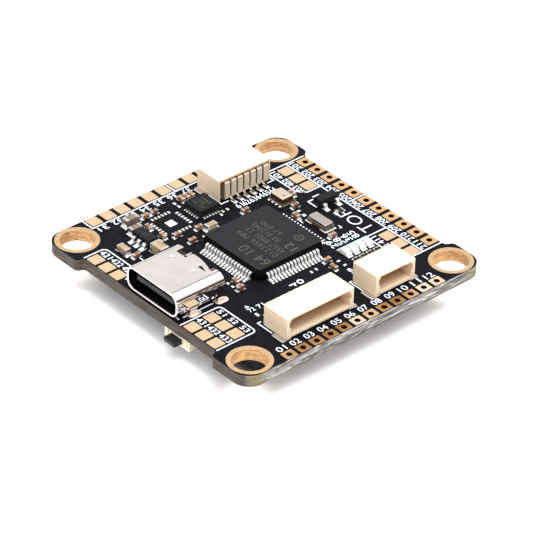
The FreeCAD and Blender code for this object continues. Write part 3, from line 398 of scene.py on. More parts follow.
t = Tree("sensor_laminate")
fine = t.noise(30000, 4.0, 0.6)
body = t.mix(t.remap(fine, 0.3, 0.7), srgb(84, 66, 50), srgb(62, 48, 36))
t.set("Base Color", t.mix(t.remap(t.axis(2), 0.00164, 0.00160), body, srgb(226, 212, 192)))
t.set("Roughness", 0.5)
t.set("Specular IOR Level", 0.3)
t.bump(fine, 0.3, 0.000006)
MATS["sensor_laminate"] = t.m
plastic("crystal_ceramic", srgb(96, 86, 78), 0.45, 30000, 0.15, 0.3)
plastic("resistor_glaze", srgb(18, 17, 19), 0.24, 30000, 0.2, 0.3)
plastic("ferrite_moulding", srgb(52, 52, 54), 0.68, 15000, 0.30, 0.9, 0.35, 0.000022)
plastic("black_plastic", srgb(22, 22, 24), 0.42, 40000, 0.12, 0.3, 0.35)
plastic("switch_cream", srgb(236, 224, 198), 0.42, 36000, 0.03, 0.3, 0.45, sss=0.08)

# drawn lid of the pressure sensor: pale satin top; the flanks get painted shade in dark bronze, chosen by their normal
t = Tree("sensor_lid")
fine = t.noise(30000, 3.0, 0.6)
geo = t.n("ShaderNodeNewGeometry")
sep = t.n("ShaderNodeSeparateXYZ")
t.link(geo.outputs["Normal"], sep.inputs[0])
# painted shade: faces turned away from up go dark bronze
flank_shade = t.remap(sep.outputs[2], 0.92, 0.45)
t.set("Base Color", t.mix(flank_shade, t.mix(t.remap(fine, 0.3, 0.7), srgb(226, 210, 192), srgb(206, 188, 168)), srgb(112, 84, 60)))
t.set("Metallic", 0.8)
t.set("Roughness", t.remap(fine, 0.3, 0.7, 0.24, 0.36))
t.bump(fine, 0.3, 0.000005)
MATS["sensor_lid"] = t.m
metal("crystal_lid_metal", srgb(206, 192, 185), 0.28, 26000, 0.14, 0.4, 0.000007, stretch=(1, 7, 1))
metal("cover_metal", srgb(205, 198, 186), 0.30, 26000, 0.07, 0.3, 0.000005, stretch=(1, 6, 1))

# multilayer ceramic: tan to brown, per-part variation by a coarse noise
t = Tree("capacitor_ceramic")
fine = t.noise(40000, 4.0, 0.6)
part = t.noise(520, 1.0, 0.5)
tone = t.ramp(part, [(0.36, srgb(104, 60, 40)), (0.45, srgb(138, 86, 58)), (0.52, srgb(150, 98, 66)), (0.60, srgb(162, 118, 80)), (0.68, srgb(176, 148, 104))])
t.set("Base Color", t.mix(t.remap(fine, 0.3, 0.7), tone, shade(srgb(146, 98, 70), 0.80)))
t.set("Roughness", t.remap(fine, 0.3, 0.7, 0.40, 0.55))
t.bump(fine, 0.3, 0.000006)
MATS["capacitor_ceramic"] = t.m

t = Tree("large_capacitor_ceramic")
fine = t.noise(40000, 4.0, 0.6)
part = t.noise(300, 1.0, 0.5)
tone = t.ramp(part, [(0.34, srgb(122, 106, 84)), (0.5, srgb(158, 134, 102)), (0.66, srgb(186, 160, 122))])
tone = t.mix(t.remap(fine, 0.3, 0.7, 0.0, 0.5), tone, srgb(146, 122, 94))
grey = t.math("MULTIPLY", t.remap(t.axis(0), -0.0116, -0.0121), t.remap(t.axis(1), -0.0076, -0.0080))
t.set("Base Color", t.mix(grey, tone, t.mix(t.remap(fine, 0.3, 0.7), srgb(126, 112, 98), srgb(104, 92, 78))))
t.set("Roughness", t.remap(fine, 0.3, 0.7, 0.36, 0.52))
t.bump(fine, 0.3, 0.000006)
MATS["large_capacitor_ceramic"] = t.m

# shell of the receptacle: bright nickel, faint brushed haze and handling clouds
t = Tree("nickel_shell")
fine = t.noise(36000, 3.0, 0.6, t.mapped((1.0, 0.16, 1.0)))
cloud = t.noise(360, 4.0, 0.62)
tone = t.mix(t.remap(cloud, 0.40, 0.68), srgb(240, 232, 229), srgb(231, 222, 219))
tone = t.mix(t.remap(fine, 0.35, 0.65, 0.0, 0.3), tone, srgb(222, 213, 210))
t.set("Base Color", tone)
t.set("Metallic", 1.0)
t.set("Roughness", t.remap(cloud, 0.35, 0.65, 0.05, 0.09))
t.bump(fine, 0.15, 0.000002)
MATS["nickel_shell"] = t.m

# lamp base and phosphor cap
plastic("led_base", srgb(240, 244, 243), 0.42, 30000, 0.03, 0.25)
t = Tree("led_lens")
fine = t.noise(30000, 3.0, 0.6)
xl = t.axis(0)
tint = t.remap(xl, 0.00605, 0.00580)
tone = t.mix(tint, srgb(250, 252, 252), srgb(176, 236, 224))
t.set("Base Color", t.mix(t.remap(fine, 0.35, 0.65, 0.0, 0.25), tone, srgb(230, 236, 236)))
t.set("Roughness", 0.12)
t.set("Coat Weight", 0.6)
t.set("Coat Roughness", 0.08)
t.set("Subsurface Weight", 0.2)
t.b.inputs["Subsurface Scale"].default_value = 0.0003
t.bump(fine, 0.15, 0.000003)
MATS["led_lens"] = t.m

plastic("cathode_green", srgb(150, 226, 212), 0.35, 30000, 0.08, 0.2)

# printed legend
t = Tree("legend_ink")
fine = t.noise(26000, 4.0, 0.65)
t.set("Base Color", t.mix(t.remap(fine, 0.35, 0.7), srgb(242, 247, 255), srgb(220, 231, 248)))
t.set("Roughness", 0.6)
t.set("Specular IOR Level", 0.3)
t.bump(fine, 0.4, 0.000004)
MATS["legend_ink"] = t.m

t = Tree("laser_mark")
fine = t.noise(30000, 4.0, 0.65)
t.set("Base Color", t.mix(t.remap(fine, 0.35, 0.65), srgb(90, 83, 73), srgb(70, 66, 61)))
t.set("Roughness", 0.62)
t.set("Specular IOR Level", 0.25)
t.bump(fine, 0.4, 0.000003)
MATS["laser_mark"] = t.m

ASSIGN = {
    "laminate": "laminate", "upper_solder_mask": "solder_mask", "lower_solder_mask": "solder_mask",
    "mounting_hole_rings": "gold_rings", "back_row_pads": "gold_back_pads", "side_row_pads": "gold_side_pads",
    "left_row_pads": "gold_pads", "led_bank_pads": "gold_pads", "battery_pads": "gold_pads",
    "usb_anchor_pads": "anchor_plating", "chip_lands": "tinned_lands", "fine_pitch_lands": "tinned_lands",
    "underside_lands": "tinned_lands",
    "mcu_body": "chip_epoxy", "gyro_body": "chip_epoxy_dark", "regulator_body": "chip_epoxy_dark",
    "transistor_body": "chip_epoxy_dark", "osd_chip_body": "chip_epoxy", "flash_chip_body": "chip_epoxy_dark",
    "converter_chips_body": "chip_epoxy_dark",
    "mcu_leads": "tinned_lead", "gyro_leads": "castellation", "regulator_leads": "tinned_lead",
    "transistor_leads": "tinned_lead", "osd_chip_leads": "tinned_lead", "flash_chip_leads": "tinned_lead",
    "converter_chips_leads": "tinned_lead", "large_capacitor_caps": "cap_tin",
    "small_capacitor_caps": "cap_tin", "resistor_caps": "cap_tin",
    "underside_capacitor_caps": "cap_tin", "underside_resistor_caps": "cap_tin",
    "inductor_terminals": "tinned_lead", "header_fixing_clips": "clip_metal",
    "header_8pin_contacts": "header_contact", "header_6pin_contacts": "header_contact", "header_4pin_contacts": "header_contact",
    "header_8pin_housing": "ivory_nylon", "header_6pin_housing": "ivory_nylon", "header_4pin_housing": "ivory_nylon",
    "barometer_base": "sensor_laminate", "barometer_lid": "sensor_lid", "crystal_base": "crystal_ceramic",
    "crystal_lid": "crystal_lid_metal",
    "large_capacitor_bodies": "large_capacitor_ceramic", "small_capacitor_bodies": "capacitor_ceramic",
    "underside_capacitor_bodies": "large_capacitor_ceramic",
    "resistor_bodies": "resistor_glaze", "underside_resistor_bodies": "resistor_glaze",
    "inductor_bodies": "ferrite_moulding",
    "status_led_bases": "led_base", "status_led_lenses": "led_lens",
    "usb_shell": "nickel_shell", "usb_moulding": "black_plastic", "usb_contacts": "usb_contact_metal",
    "boot_switch_housing": "switch_cream", "boot_switch_cover": "cover_metal", "boot_switch_dome": "contact_metal",
    "boot_switch_terminals": "tinned_lead", "boot_button": "black_plastic",
}
missing = sorted(set(NODES) - set(ASSIGN))
if missing:
    raise RuntimeError("no material for %s" % missing)
for n, o in NODES.items():
    o.data.materials.clear()
    o.data.materials.append(MATS[ASSIGN[n]])

# ------------------------------------------------------------------ mesh helpers


class Build:
    """Collects faces in millimetres and makes one object of them."""

    def __init__(self, name, material, slot, smooth=None):
        self.name, self.material, self.slot, self.smooth = name, material, slot, smooth
        self.v, self.f = [], []

    def add(self, verts, faces):
        k = len(self.v)
        self.v.extend(verts)
        self.f.extend([tuple(i + k for i in f) for f in faces])

    def prism(self, outline, z0, z1):
        """Closed prism over a plan outline that winds anticlockwise."""
        n = len(outline)
        vs = [(x, y, z0) for x, y in outline] + [(x, y, z1) for x, y in outline]
        fs = [tuple(range(n - 1, -1, -1)), tuple(range(n, 2 * n))]
        for i in range(n):
            j = (i + 1) % n
            fs.append((i, j, n + j, n + i))
        self.add(vs, fs)

    def finish(self):
        me = bpy.data.meshes.new(self.name)
        me.from_pydata([(x * MM, y * MM, z * MM) for x, y, z in self.v], [], self.f)
        me.validate()
        me.update()
        o = bpy.data.objects.new(self.name, me)
        bpy.context.scene.collection.objects.link(o)
        me.materials.append(MATS[self.material])
        if self.smooth is not None:
            me.shade_smooth()
            if self.smooth < 180:
                me.set_sharp_from_angle(angle=math.radians(self.smooth))
        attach(o, BODY)
        return o


def stroke(points, w):
    """Outline of a poly-line of width w, with mitred corners and square ends."""
    L, R = [], []
    n = len(points)
    for i, p in enumerate(points):
        ns = []
        for a, b in ((i - 1, i), (i, i + 1)):
            if a < 0 or b >= n:
                continue
            dx, dy = points[b][0] - points[a][0], points[b][1] - points[a][1]
            m = math.hypot(dx, dy)
            ns.append((-dy / m, dx / m))
        if len(ns) == 2:
            nx, ny = ns[0][0] + ns[1][0], ns[0][1] + ns[1][1]
            m = math.hypot(nx, ny)
            nx, ny = nx / m, ny / m
            k = w / 2 / (nx * ns[0][0] + ny * ns[0][1])
        else:
            nx, ny = ns[0]
            k = w / 2
        L.append((p[0] + nx * k, p[1] + ny * k))
        R.append((p[0] - nx * k, p[1] - ny * k))
    return R + L[::-1]


def rounded(points, r, steps=5):
    """Poly-line with its inner corners rounded by radius r."""
    out = [points[0]]
    for a, b, c in zip(points, points[1:], points[2:]):
        ux, uy = a[0] - b[0], a[1] - b[1]
        vx, vy = c[0] - b[0], c[1] - b[1]
        lu, lv = math.hypot(ux, uy), math.hypot(vx, vy)
        ux, uy, vx, vy = ux / lu, uy / lu, vx / lv, vy / lv
        p, q = (b[0] + ux * r, b[1] + uy * r), (b[0] + vx * r, b[1] + vy * r)
        for i in range(steps + 1):
            s = i / steps
            out.append(((1 - s) ** 2 * p[0] + 2 * s * (1 - s) * b[0] + s * s * q[0],
                        (1 - s) ** 2 * p[1] + 2 * s * (1 - s) * b[1] + s * s * q[1]))
    out.append(points[-1])
    return out


def disc(x, y, r, n=20):
    return [(x + r * math.cos(2 * math.pi * i / n), y + r * math.sin(2 * math.pi * i / n)) for i in range(n)]


def annulus(b, x, y, r0, r1, z0, z1, n=28):
    vs, fs = [], []
    for i in range(n):
        c, s = math.cos(2 * math.pi * i / n), math.sin(2 * math.pi * i / n)
        vs += [(x + r0 * c, y + r0 * s, z0), (x + r1 * c, y + r1 * s, z0), (x + r1 * c, y + r1 * s, z1), (x + r0 * c, y + r0 * s, z1)]
    for i in range(n):
        a, d = 4 * i, 4 * ((i + 1) % n)
        for k in range(4):
            m = (k + 1) % 4
            fs.append((a + k, d + k, d + m, a + m))
    b.add(vs, fs)


_glyph = {}


def text_mesh(body, weight=0.004, res=3):
    """(verts, faces, width) of extruded text at unit cap height, standing on z 0..1, centred."""
    if (body, weight) in _glyph:
        return _glyph[(body, weight)]
    c = bpy.data.curves.new("legend_text", "FONT")
    c.body = body
    c.size = 1.0
    c.extrude = 0.5
    c.resolution_u = res
    c.offset = weight
    c.space_character = 1.02
    o = bpy.data.objects.new("legend_text", c)
    bpy.context.scene.collection.objects.link(o)
    bpy.context.view_layer.update()
    dg = bpy.context.evaluated_depsgraph_get()
    me = bpy.data.meshes.new_from_object(o.evaluated_get(dg))
    co = np.array([v.co for v in me.vertices], float)
    lo, hi = co.min(0), co.max(0)
    h = hi[1] - lo[1]
    co[:, 0] = (co[:, 0] - (lo[0] + hi[0]) / 2) / h
    co[:, 1] = (co[:, 1] - (lo[1] + hi[1]) / 2) / h
    co[:, 2] = (co[:, 2] - lo[2]) / (hi[2] - lo[2])
    fs = [tuple(p.vertices) for p in me.polygons]
    bpy.data.objects.remove(o)
    bpy.data.curves.remove(c)
    bpy.data.meshes.remove(me)
    _glyph[(body, weight)] = (co, fs, (hi[0] - lo[0]) / h)
    return _glyph[(body, weight)]


def label(b, body, x, y, h, deg=0, width=None, z=MASK_TOP + 0.001, t=0.012, under=False, weight=0.004):
    """Printed text centred on (x, y). width squeezes or stretches it to that length."""
    co, fs, w = text_mesh(body, weight)
    sx = h if width is None else width / w
    a = math.radians(deg)
    c, s = math.cos(a), math.sin(a)
    vs = []
    for p in co:
        u, v = p[0] * sx, p[1] * h
        if under:
            # read from below: mirrored in plan
            X, Y = -(u * c - v * s), u * s + v * c
            vs.append((x + X, y + Y, z - p[2] * t))
        else:
            vs.append((x + u * c - v * s, y + u * s + v * c, z + p[2] * t))
    b.add(vs, fs)


def islands(node):
    """(low, high) of each separate solid in a CAD node, in millimetres."""
    me = NODES[node].data
    co = np.empty(len(me.vertices) * 3, np.float32)
    me.vertices.foreach_get("co", co)
    co = co.reshape(-1, 3).astype(float) / MM
    key = {}
    ident = np.empty(len(co), int)
    for i, p in enumerate(np.round(co, 4)):
        ident[i] = key.setdefault((p[0], p[1], p[2]), len(key))
    parent = list(range(len(key)))

    def find(i):
        while parent[i] != i:
            parent[i] = parent[parent[i]]
            i = parent[i]
        return i

    for p in me.polygons:
        vs = [find(ident[v]) for v in p.vertices]
        for v in vs[1:]:
            parent[find(v)] = find(vs[0])
    groups = {}
    for i in range(len(co)):
        groups.setdefault(find(ident[i]), []).append(i)
    out = []
    for ids in groups.values():
        c = co[ids]
        out.append((tuple(c.min(0)), tuple(c.max(0))))
    out.sort(key=lambda b: (round(b[0][0], 3), round(b[0][1], 3), round(b[0][2], 3)))
    return out


# ------------------------------------------------------------------ printed legend
Z0, Z1 = MASK_TOP + 0.0006, MASK_TOP + 0.013
LW = 0.175
lines = Build("legend_lines", "legend_ink", "solder_mask")


def line(points, w=LW, r=0.0, closed=False):
    pts = rounded(points, r) if r else points
    lines.prism(stroke(pts, w), Z0, Z1)


# left column frame
line([(-17.93, -12.40), (-15.95, -12.40), (-15.95, 13.30)])
line([(-17.93, 0.08), (-16.03, 0.08)])
# back row frame
line([(-12.20, 16.95), (-12.20, 11.0)])
line([(-12.11, 14.07), (11.76, 14.07)])
line([(11.85, 16.95), (11.85, 11.9), (10.9, 10.95), (5.50, 10.95), (5.50, 13.98)])
line([(-1.30, 14.16), (-1.30, 16.95)])
# bank frames
line([(-12.11, 11.0), (-7.0, 11.0), (-5.95, 12.0), (-5.95, 13.98)])
line([(-11.85, -16.95), (-11.85, -13.85), (-5.50, -13.85), (-5.50, -16.0)], r=0.75)
line([(5.35, -16.95), (5.35, -11.15), (11.60, -11.15), (11.60, -16.95)], r=0.6)
# header outlines
line([(10.55, -9.55), (10.55, -10.05), (13.0, -10.05)])
line([(11.1, 3.62), (11.1, 3.3), (13.35, 3.3)])
line([(-10.45, 3.6), (-10.45, 2.5), (-12.9, 2.5)])
line([(-10.45, 9.62), (-10.45, 10.62), (-12.9, 10.62)])
line([(10.55, 0.0), (10.55, 0.52), (11.4, 0.52)])
line([(11.1, 9.3), (11.1, 9.66), (13.35, 9.66)])
# receptacle outline
line([(4.42, -14.0), (4.42, -11.4)])
line([(4.42, -15.1), (4.42, -15.75)])
line([(3.55, -16.35), (4.42, -16.35)], 0.2)
line([(-4.9, -13.9), (-4.9, -11.4)])
line([(-7.85, -12.0), (-7.15, -12.0)], 0.15)
# transistor outline
line([(-4.75, 11.75), (-4.75, 12.75)])
line([(-4.35, 11.5), (-4.35, 10.7), (-2.8, 10.7)])
# front mark: bar and ring
line([(7.3, -1.55), (7.3, -2.5)], 0.2)
line([(7.3, -1.85), (7.75, -1.85)], 0.2)
annulus(lines, 7.42, -0.95, 0.24, 0.42, Z0, Z1)
# pin-one triangle of the 8-pin header
lines.prism([(7.05, -8.95), (7.55, -9.25), (7.55, -8.65)], Z0, Z1)
lines.prism(disc(3.1, -3.45, 0.17), Z0, Z1)
for y in (0.8, 0.08, -0.66):
    pass
# crystal corner marks
line([(-1.9, 7.55), (-1.9, 7.25), (-1.35, 7.25)], 0.13)
line([(2.2, 9.8), (2.2, 10.1), (1.65, 10.1)], 0.13)

def under_line(points, w=0.16):
    lines.prism(stroke(points, w), -0.013, -0.0006)


# underside: frames of the two inductors, pin-one dots of the chips
for lo, hi in islands("inductor_bodies"):
    a, b_ = 0.22, 1.3
    for sx_ in (lo[0] - a, hi[0] + a):
        inx = b_ if sx_ < lo[0] else -b_
        for sy_ in (lo[1] - a, hi[1] + a):
            iny = b_ if sy_ < lo[1] else -b_
            if abs(sx_) < 13.6 and abs(sy_) < 13.6:
                under_line([(sx_ + inx, sy_), (sx_, sy_), (sx_, sy_ + iny)])
lines.prism(disc(-4.55, -2.2, 0.20), -0.013, -0.0006)
lines.prism(disc(3.15, -0.95, 0.20), -0.013, -0.0006)
lines.finish()

text = Build("legend_numbers", "legend_ink", "solder_mask")
for k in range(12):
    label(text, "%02d" % (k + 1), 15.86, -11.2 + 2.03 * k, 0.92, 90, 1.28)
for k in range(11):
    label(text, "%d" % (201 + k), -11.05 + 2.165 * k, 14.72, 0.86, 180, 1.74)
for k in range(12):
    y = -11.35 + 2.08 * k
    if 3.0 < y < 10.6:
        continue
    label(text, "%02d" % (31 + k), -15.28, y, 0.90, -90, 1.36)
for k, x in enumerate((-10.95, -8.95, -6.98)):
    label(text, "%d" % (401 + k), x, 11.62, 0.84, 180, 1.72)
for k, x in enumerate((6.85, 8.87, 10.88)):
    label(text, "%d" % (411 + k), x, 11.60, 0.84, 180, 1.72 if k < 2 else 1.3)
for k, x in enumerate((-10.70, -8.70, -6.70)):
    label(text, "%d" % (421 + k), x, -14.62, 0.84, 0, 1.72)
for k, x in enumerate((6.50, 8.47, 10.45)):
    label(text, "%d" % (431 + k), x, -14.67, 0.84, 0, 1.72)
    label(text, "%02d" % (51 + k), x, -11.84, 0.72, 0, 1.25)
for k in range(4):
    label(text, ("85", "36", "58", "29")[k], 4.15, 10.15 - 1.1 * k, 0.92, 180, 1.5)
for k in range(6):
    label(text, "%d" % (61 + k), -8.88, 3.95 + 1.04 * k, 0.95, 90, 0.92)
label(text, "71", 8.15, -7.55, 0.72, 90, 0.95)
label(text, "72", 8.10, -8.85, 0.72, 90, 0.85)
label(text, "8", 9.3, 4.95, 0.72, 90, 0.5)
label(text, "1", 9.25, -9.0, 0.62, 90, 0.3)
label(text, "5", -5.05, -2.75, 0.6, 0, 0.36)
label(text, "TOP", 2.15, 12.30, 1.72, 180, 5.3, weight=-0.012)
# underside: the same pad numbers, read from below
UZ = -0.0006
for k in range(12):
    label(text, "%02d" % (k + 1), 15.80, -11.2 + 2.03 * k, 0.86, 90, 1.22, z=UZ, under=True)
for k in range(11):
    x = -11.05 + 2.165 * k
    if -4.9 < x < 3.0:
        continue
    label(text, "%d" % (201 + k), x, 14.62, 0.80, 0, 1.62, z=UZ, under=True)
for k in range(12):
    label(text, "%02d" % (31 + k), -15.34, -11.35 + 2.08 * k, 0.84, -90, 1.26, z=UZ, under=True)
label(text, "+", -4.75, 13.85, 0.85, 0, 0.85, z=UZ, under=True)
label(text, "-", 2.85, 13.85, 0.20, 0, 0.85, z=UZ, under=True)
text.finish()

# laser marks on the micro-controller: plain rows of digits
marks = Build("mcu_marking", "laser_mark", "chip_epoxy")
MZ = 3.0 + 0.0004
for body, x, y, h, w, wt_ in [("64 10", 1.75, -2.95, 1.35, 4.6, -0.012), ("0123456 789", 0.2, -1.15, 0.80, 6.6, -0.012),
                              ("4567 8901 23", 0.3, -0.02, 0.80, 6.4, -0.012), ("89 012345", -0.9, 1.12, 0.80, 4.6, -0.012),
                              ("67 890", -1.2, 2.20, 0.74, 3.4, -0.012), ("12", 3.1, 1.35, 1.15, 1.5, 0.01)]:
    label(marks, body, x, y, h, 180, w, MZ, 0.004, weight=wt_)
annulus(marks, 2.3, 3.35, 0.50, 0.62, MZ, MZ + 0.004)
annulus(marks, 2.3, 3.35, 0.16, 0.24, MZ, MZ + 0.004)
GZ = 2.42 + 0.0004
for body, x, y, h, w in [("12 34", -11.1, -0.55, 0.42, 1.9), ("567", -11.3, 0.1, 0.40, 1.3), ("8901", -11.1, 0.72, 0.40, 1.7)]:
    label(marks, body, x, y, h, 180, w, GZ, 0.004, weight=-0.005)
label(marks, "33", -9.95, -9.42, 0.46, 0, 0.8, 2.6 + 0.0004, 0.004, weight=-0.02)
marks.finish()

# vias under the mask and the fan-out tracks that lead to them: raised by the mask's own thickness
vias = Build("tented_vias", "solder_mask_over_copper", "solder_mask", 40)
tracks = Build("covered_tracks", "solder_mask_over_copper", "solder_mask")
KEEP = []
for node in NODES:
    if NODES[node].type != "MESH" or node in ("laminate", "upper_solder_mask", "lower_solder_mask"):
        continue
    for lo, hi in islands(node):
        KEEP.append((lo, hi))


def free(x, y, r, above):
    if abs(x) > 17.6 - r or abs(y) > 17.6 - r:
        return False
    if math.hypot(abs(x) - 15.25, abs(y) - 15.25) < 2.9 + r:
        return False
    if abs(abs(x) - 17.9) < 1.2 and abs(y) > 12.2:
        return False
    for lo, hi in KEEP:
        if above and hi[2] < 1.3 or not above and lo[2] > 0.2:
            continue
        if lo[0] - r < x < hi[0] + r and lo[1] - r < y < hi[1] + r:
            return False
    return True


seed = random.Random(722)
placed = {True: [], False: []}
for above, want in ((True, 120), (False, 130)):
    z0, sgn = (MASK_TOP, 1) if above else (0.0, -1)
    tries = 0
    while len(placed[above]) < want and tries < 6000:
        tries += 1
        x, y = seed.uniform(-14.4, 14.4), seed.uniform(-15.6, 13.6)
        if above and (abs(x + 0.42) < 5.2 and abs(y - 0.25) < 5.2):
            continue
        if not free(x, y, 0.34, above) or any(math.hypot(x - a, y - b) < 0.75 for a, b in placed[above]):
            continue
        placed[above].append((x, y))
        levels = [(0.23, 0.0), (0.21, 0.008), (0.13, 0.009), (0.08, 0.003), (0.0, 0.002)]
        vs, fs, n = [], [], 14
        for r, dz in levels[:-1]:
            for i in range(n):
                a = 2 * math.pi * i / n
                vs.append((x + r * math.cos(a), y + r * math.sin(a), z0 + sgn * (dz + 0.0005)))
        vs.append((x, y, z0 + sgn * 0.0025))
        for k in range(len(levels) - 2):
            for i in range(n):
                j = (i + 1) % n
                q = (k * n + i, k * n + j, (k + 1) * n + j, (k + 1) * n + i)
                fs.append(q if above else q[::-1])
        k = (len(levels) - 2) * n
        for i in range(n):
            j = (i + 1) % n
            q = (k + i, k + j, len(vs) - 1)
            fs.append(q if above else q[::-1])
        vias.add(vs, fs)
vias.finish()
# fan-out from the rows of the large chip: each track starts just past its land and runs as far as the board is free
for side in range(4):
    c, q = ((1, 0), (0, 1), (-1, 0), (0, -1))[side]
    for i in range(16):
        off = -3.75 + 0.5 * i
        reach = seed.uniform(0.7, 2.2)
        bend = seed.choice((-1, 0, 1)) * seed.uniform(0.2, 0.6)
        if seed.random() < 0.2:
            continue
        start = next((u / 100 for u in range(600, 760, 4) if free(-0.42 + c * u / 100 - q * off, 0.25 + q * u / 100 + c * off, 0.03, True)), None)
        if start is None:
            continue
        pts = [(start, off), (start + reach * 0.4, off), (start + reach, off + bend)]
        path = [(-0.42 + c * u - q * v, 0.25 + q * u + c * v) for u, v in pts]
        if all(free(px_, py_, 0.10, True) for px_, py_ in path[1:]):
            tracks.prism(stroke(path, 0.13), MASK_TOP + 0.0004, MASK_TOP + 0.006)
print("covered tracks:", len(tracks.f) // 8)
if tracks.f:
    tracks.finish()

# ------------------------------------------------------------------ solder
solder = Build("solder_fillets", "solder", "tinned_lead", 60)


def fillet(x, y, dx, dy, width, height, length, z0, up=1, nu=6, nv=7):
    """Concave fillet from a wall at (x, y) running out along (dx, dy); width across, height at the wall."""
    px, py = -dy, dx
    vs, fs = [], []
    for j in range(nv):
        v = -1 + 2 * j / (nv - 1)
        f = (1 - abs(v) ** 4 * 0.75)
        for i in range(nu):
            s = i / (nu - 1)
            u = s * length * (0.55 + 0.45 * f)
            h = height * (0.35 + 0.65 * f) * (1 - s) ** 1.8 * (1 - 0.12 * math.sin(math.pi * s))
            h = max(h, 0.004)
            w = v * width / 2 * (1 + 0.06 * s)
            vs.append((x + dx * u + px * w, y + dy * u + py * w, z0 + up * h))
    top = len(vs)
    for j in range(nv):
        for i in range(nu):
            a = vs[j * nu + i]
            vs.append((a[0], a[1], z0))
    for j in range(nv - 1):
        for i in range(nu - 1):
            a = j * nu + i
            q = (a, a + nu, a + nu + 1, a + 1)
            fs.append(q[::-1] if up > 0 else q)
            b = (top + a, top + a + 1, top + a + nu + 1, top + a + nu)
            fs.append(b[::-1] if up > 0 else b)
    ring = [j * nu for j in range(nv)] + [(nv - 1) * nu + i for i in range(1, nu)] + [j * nu + nu - 1 for j in range(nv - 2, -1, -1)] + [i for i in range(nu - 2, 0, -1)]
    for a, b in zip(ring, ring[1:] + ring[:1]):
        q = (a, b, top + b, top + a)
        fs.append(q if up > 0 else q[::-1])
    solder.add(vs, fs)


def dome(b, cx, cy, sx, sy, h, z0, up=1, n=20, power=2.4):
    """Low pillow of solder on a rectangular land."""
    levels = [(1.0, 0.0), (0.985, 0.35), (0.90, 0.68), (0.72, 0.88), (0.42, 0.98)]
    vs, fs = [], []
    m = min(sx, sy) / 2
    for s, zz in levels:
        inset = (1 - s) * m
        ax, ay = sx / 2 - inset, sy / 2 - inset
        for i in range(n):
            a = 2 * math.pi * (i + 0.5) / n
            c, q = math.cos(a), math.sin(a)
            e = 2 / 5.0
            vs.append((cx + ax * math.copysign(abs(c) ** e, c), cy + ay * math.copysign(abs(q) ** e, q), z0 + up * h * zz))
    vs.append((cx, cy, z0 + up * h))
    vs.append((cx, cy, z0))
    top, bot = len(vs) - 2, len(vs) - 1
    for k in range(len(levels) - 1):
        for i in range(n):
            j = (i + 1) % n
            q = (k * n + i, k * n + j, (k + 1) * n + j, (k + 1) * n + i)
            fs.append(q if up > 0 else q[::-1])
    k = (len(levels) - 1) * n
    for i in range(n):
        j = (i + 1) % n
        fs.append((k + i, k + j, top) if up > 0 else (top, k + j, k + i))
        fs.append((bot, j, i) if up > 0 else (i, j, bot))
    b.add(vs, fs)


# chips with end caps: a fillet at each outer end; the pillows under the caps are the land domes further down
def chips(capnode, bodynode, landnode, up=1, share=0.62):
    caps = islands(capnode)
    lands = [l for l in islands(landnode)]
    bodies = islands(bodynode)
    for lo, hi in bodies:
        cx, cy = (lo[0] + hi[0]) / 2, (lo[1] + hi[1]) / 2
        for c in caps:
            mx, my = (c[0][0] + c[1][0]) / 2, (c[0][1] + c[1][1]) / 2
            # the cap that touches this body
            gapx = max(c[0][0] - hi[0], lo[0] - c[1][0])
            gapy = max(c[0][1] - hi[1], lo[1] - c[1][1])
            if max(gapx, gapy) > 0.02:
                continue
            if gapx > gapy:
                d = (math.copysign(1, mx - cx), 0)
                face, wide = (c[1][0] if d[0] > 0 else c[0][0]), c[1][1] - c[0][1]
                x, y = face, my
            else:
                d = (0, math.copysign(1, my - cy))
                face, wide = (c[1][1] if d[1] > 0 else c[0][1]), c[1][0] - c[0][0]
                x, y = mx, face
            length = 0.2
            for l in lands:
                if l[0][0] - 0.01 <= mx <= l[1][0] + 0.01 and l[0][1] - 0.01 <= my <= l[1][1] + 0.01:
                    if d[0]:
                        length = (l[1][0] - face) if d[0] > 0 else (face - l[0][0])
                    else:
                        length = (l[1][1] - face) if d[1] > 0 else (face - l[0][1])
            H = c[1][2] - c[0][2]
            z0 = PAD_TOP if up > 0 else PAD_BOT
            length = max(0.08, length - 0.01)
            fillet(x - d[0] * 0.01, y - d[1] * 0.01, d[0], d[1], wide * 0.98, H * share, length, z0, up)


chips("small_capacitor_caps", "small_capacitor_bodies", "chip_lands")
chips("resistor_caps", "resistor_bodies", "chip_lands", share=0.75)
chips("large_capacitor_caps", "large_capacitor_bodies", "chip_lands", share=0.5)
chips("underside_capacitor_caps", "underside_capacitor_bodies", "underside_lands", -1, 0.5)
chips("underside_resistor_caps", "underside_resistor_bodies", "underside_lands", -1, 0.7)


def toes(leadnode, centre, axis, w_extra=0.05, height=0.11, length=0.16, up=1):
    """A small fillet at the toe of each lead, pointing away from the package."""
    for lo, hi in islands(leadnode):
        mx, my = (lo[0] + hi[0]) / 2, (lo[1] + hi[1]) / 2
        horizontal = (hi[0] - lo[0]) > (hi[1] - lo[1]) if axis is None else axis == 0
        c = centre(mx, my) if callable(centre) else centre
        if horizontal:
            d = math.copysign(1, mx - c[0])
            fillet((hi[0] if d > 0 else lo[0]) - d * 0.01, my, d, 0, hi[1] - lo[1] + w_extra, height, length, PAD_TOP if up > 0 else PAD_BOT, up, 5, 5)
        else:
            d = math.copysign(1, my - c[1])
            fillet(mx, (hi[1] if d > 0 else lo[1]) - d * 0.01, 0, d, hi[0] - lo[0] + w_extra, height, length, PAD_TOP if up > 0 else PAD_BOT, up, 5, 5)


toes("regulator_leads", (-9.95, -9.42), 1, 0.10, 0.14, 0.20)
toes("transistor_leads", (-2.85, 12.25), 0, 0.10, 0.14, 0.20)
for n_, cx_ in (("header_8pin_contacts", 12.5), ("header_4pin_contacts", 12.6)):
    toes(n_, (cx_, 0), 0, 0.06, 0.14, 0.18)
toes("header_6pin_contacts", (-12.4, 0), 0, 0.06, 0.14, 0.18)
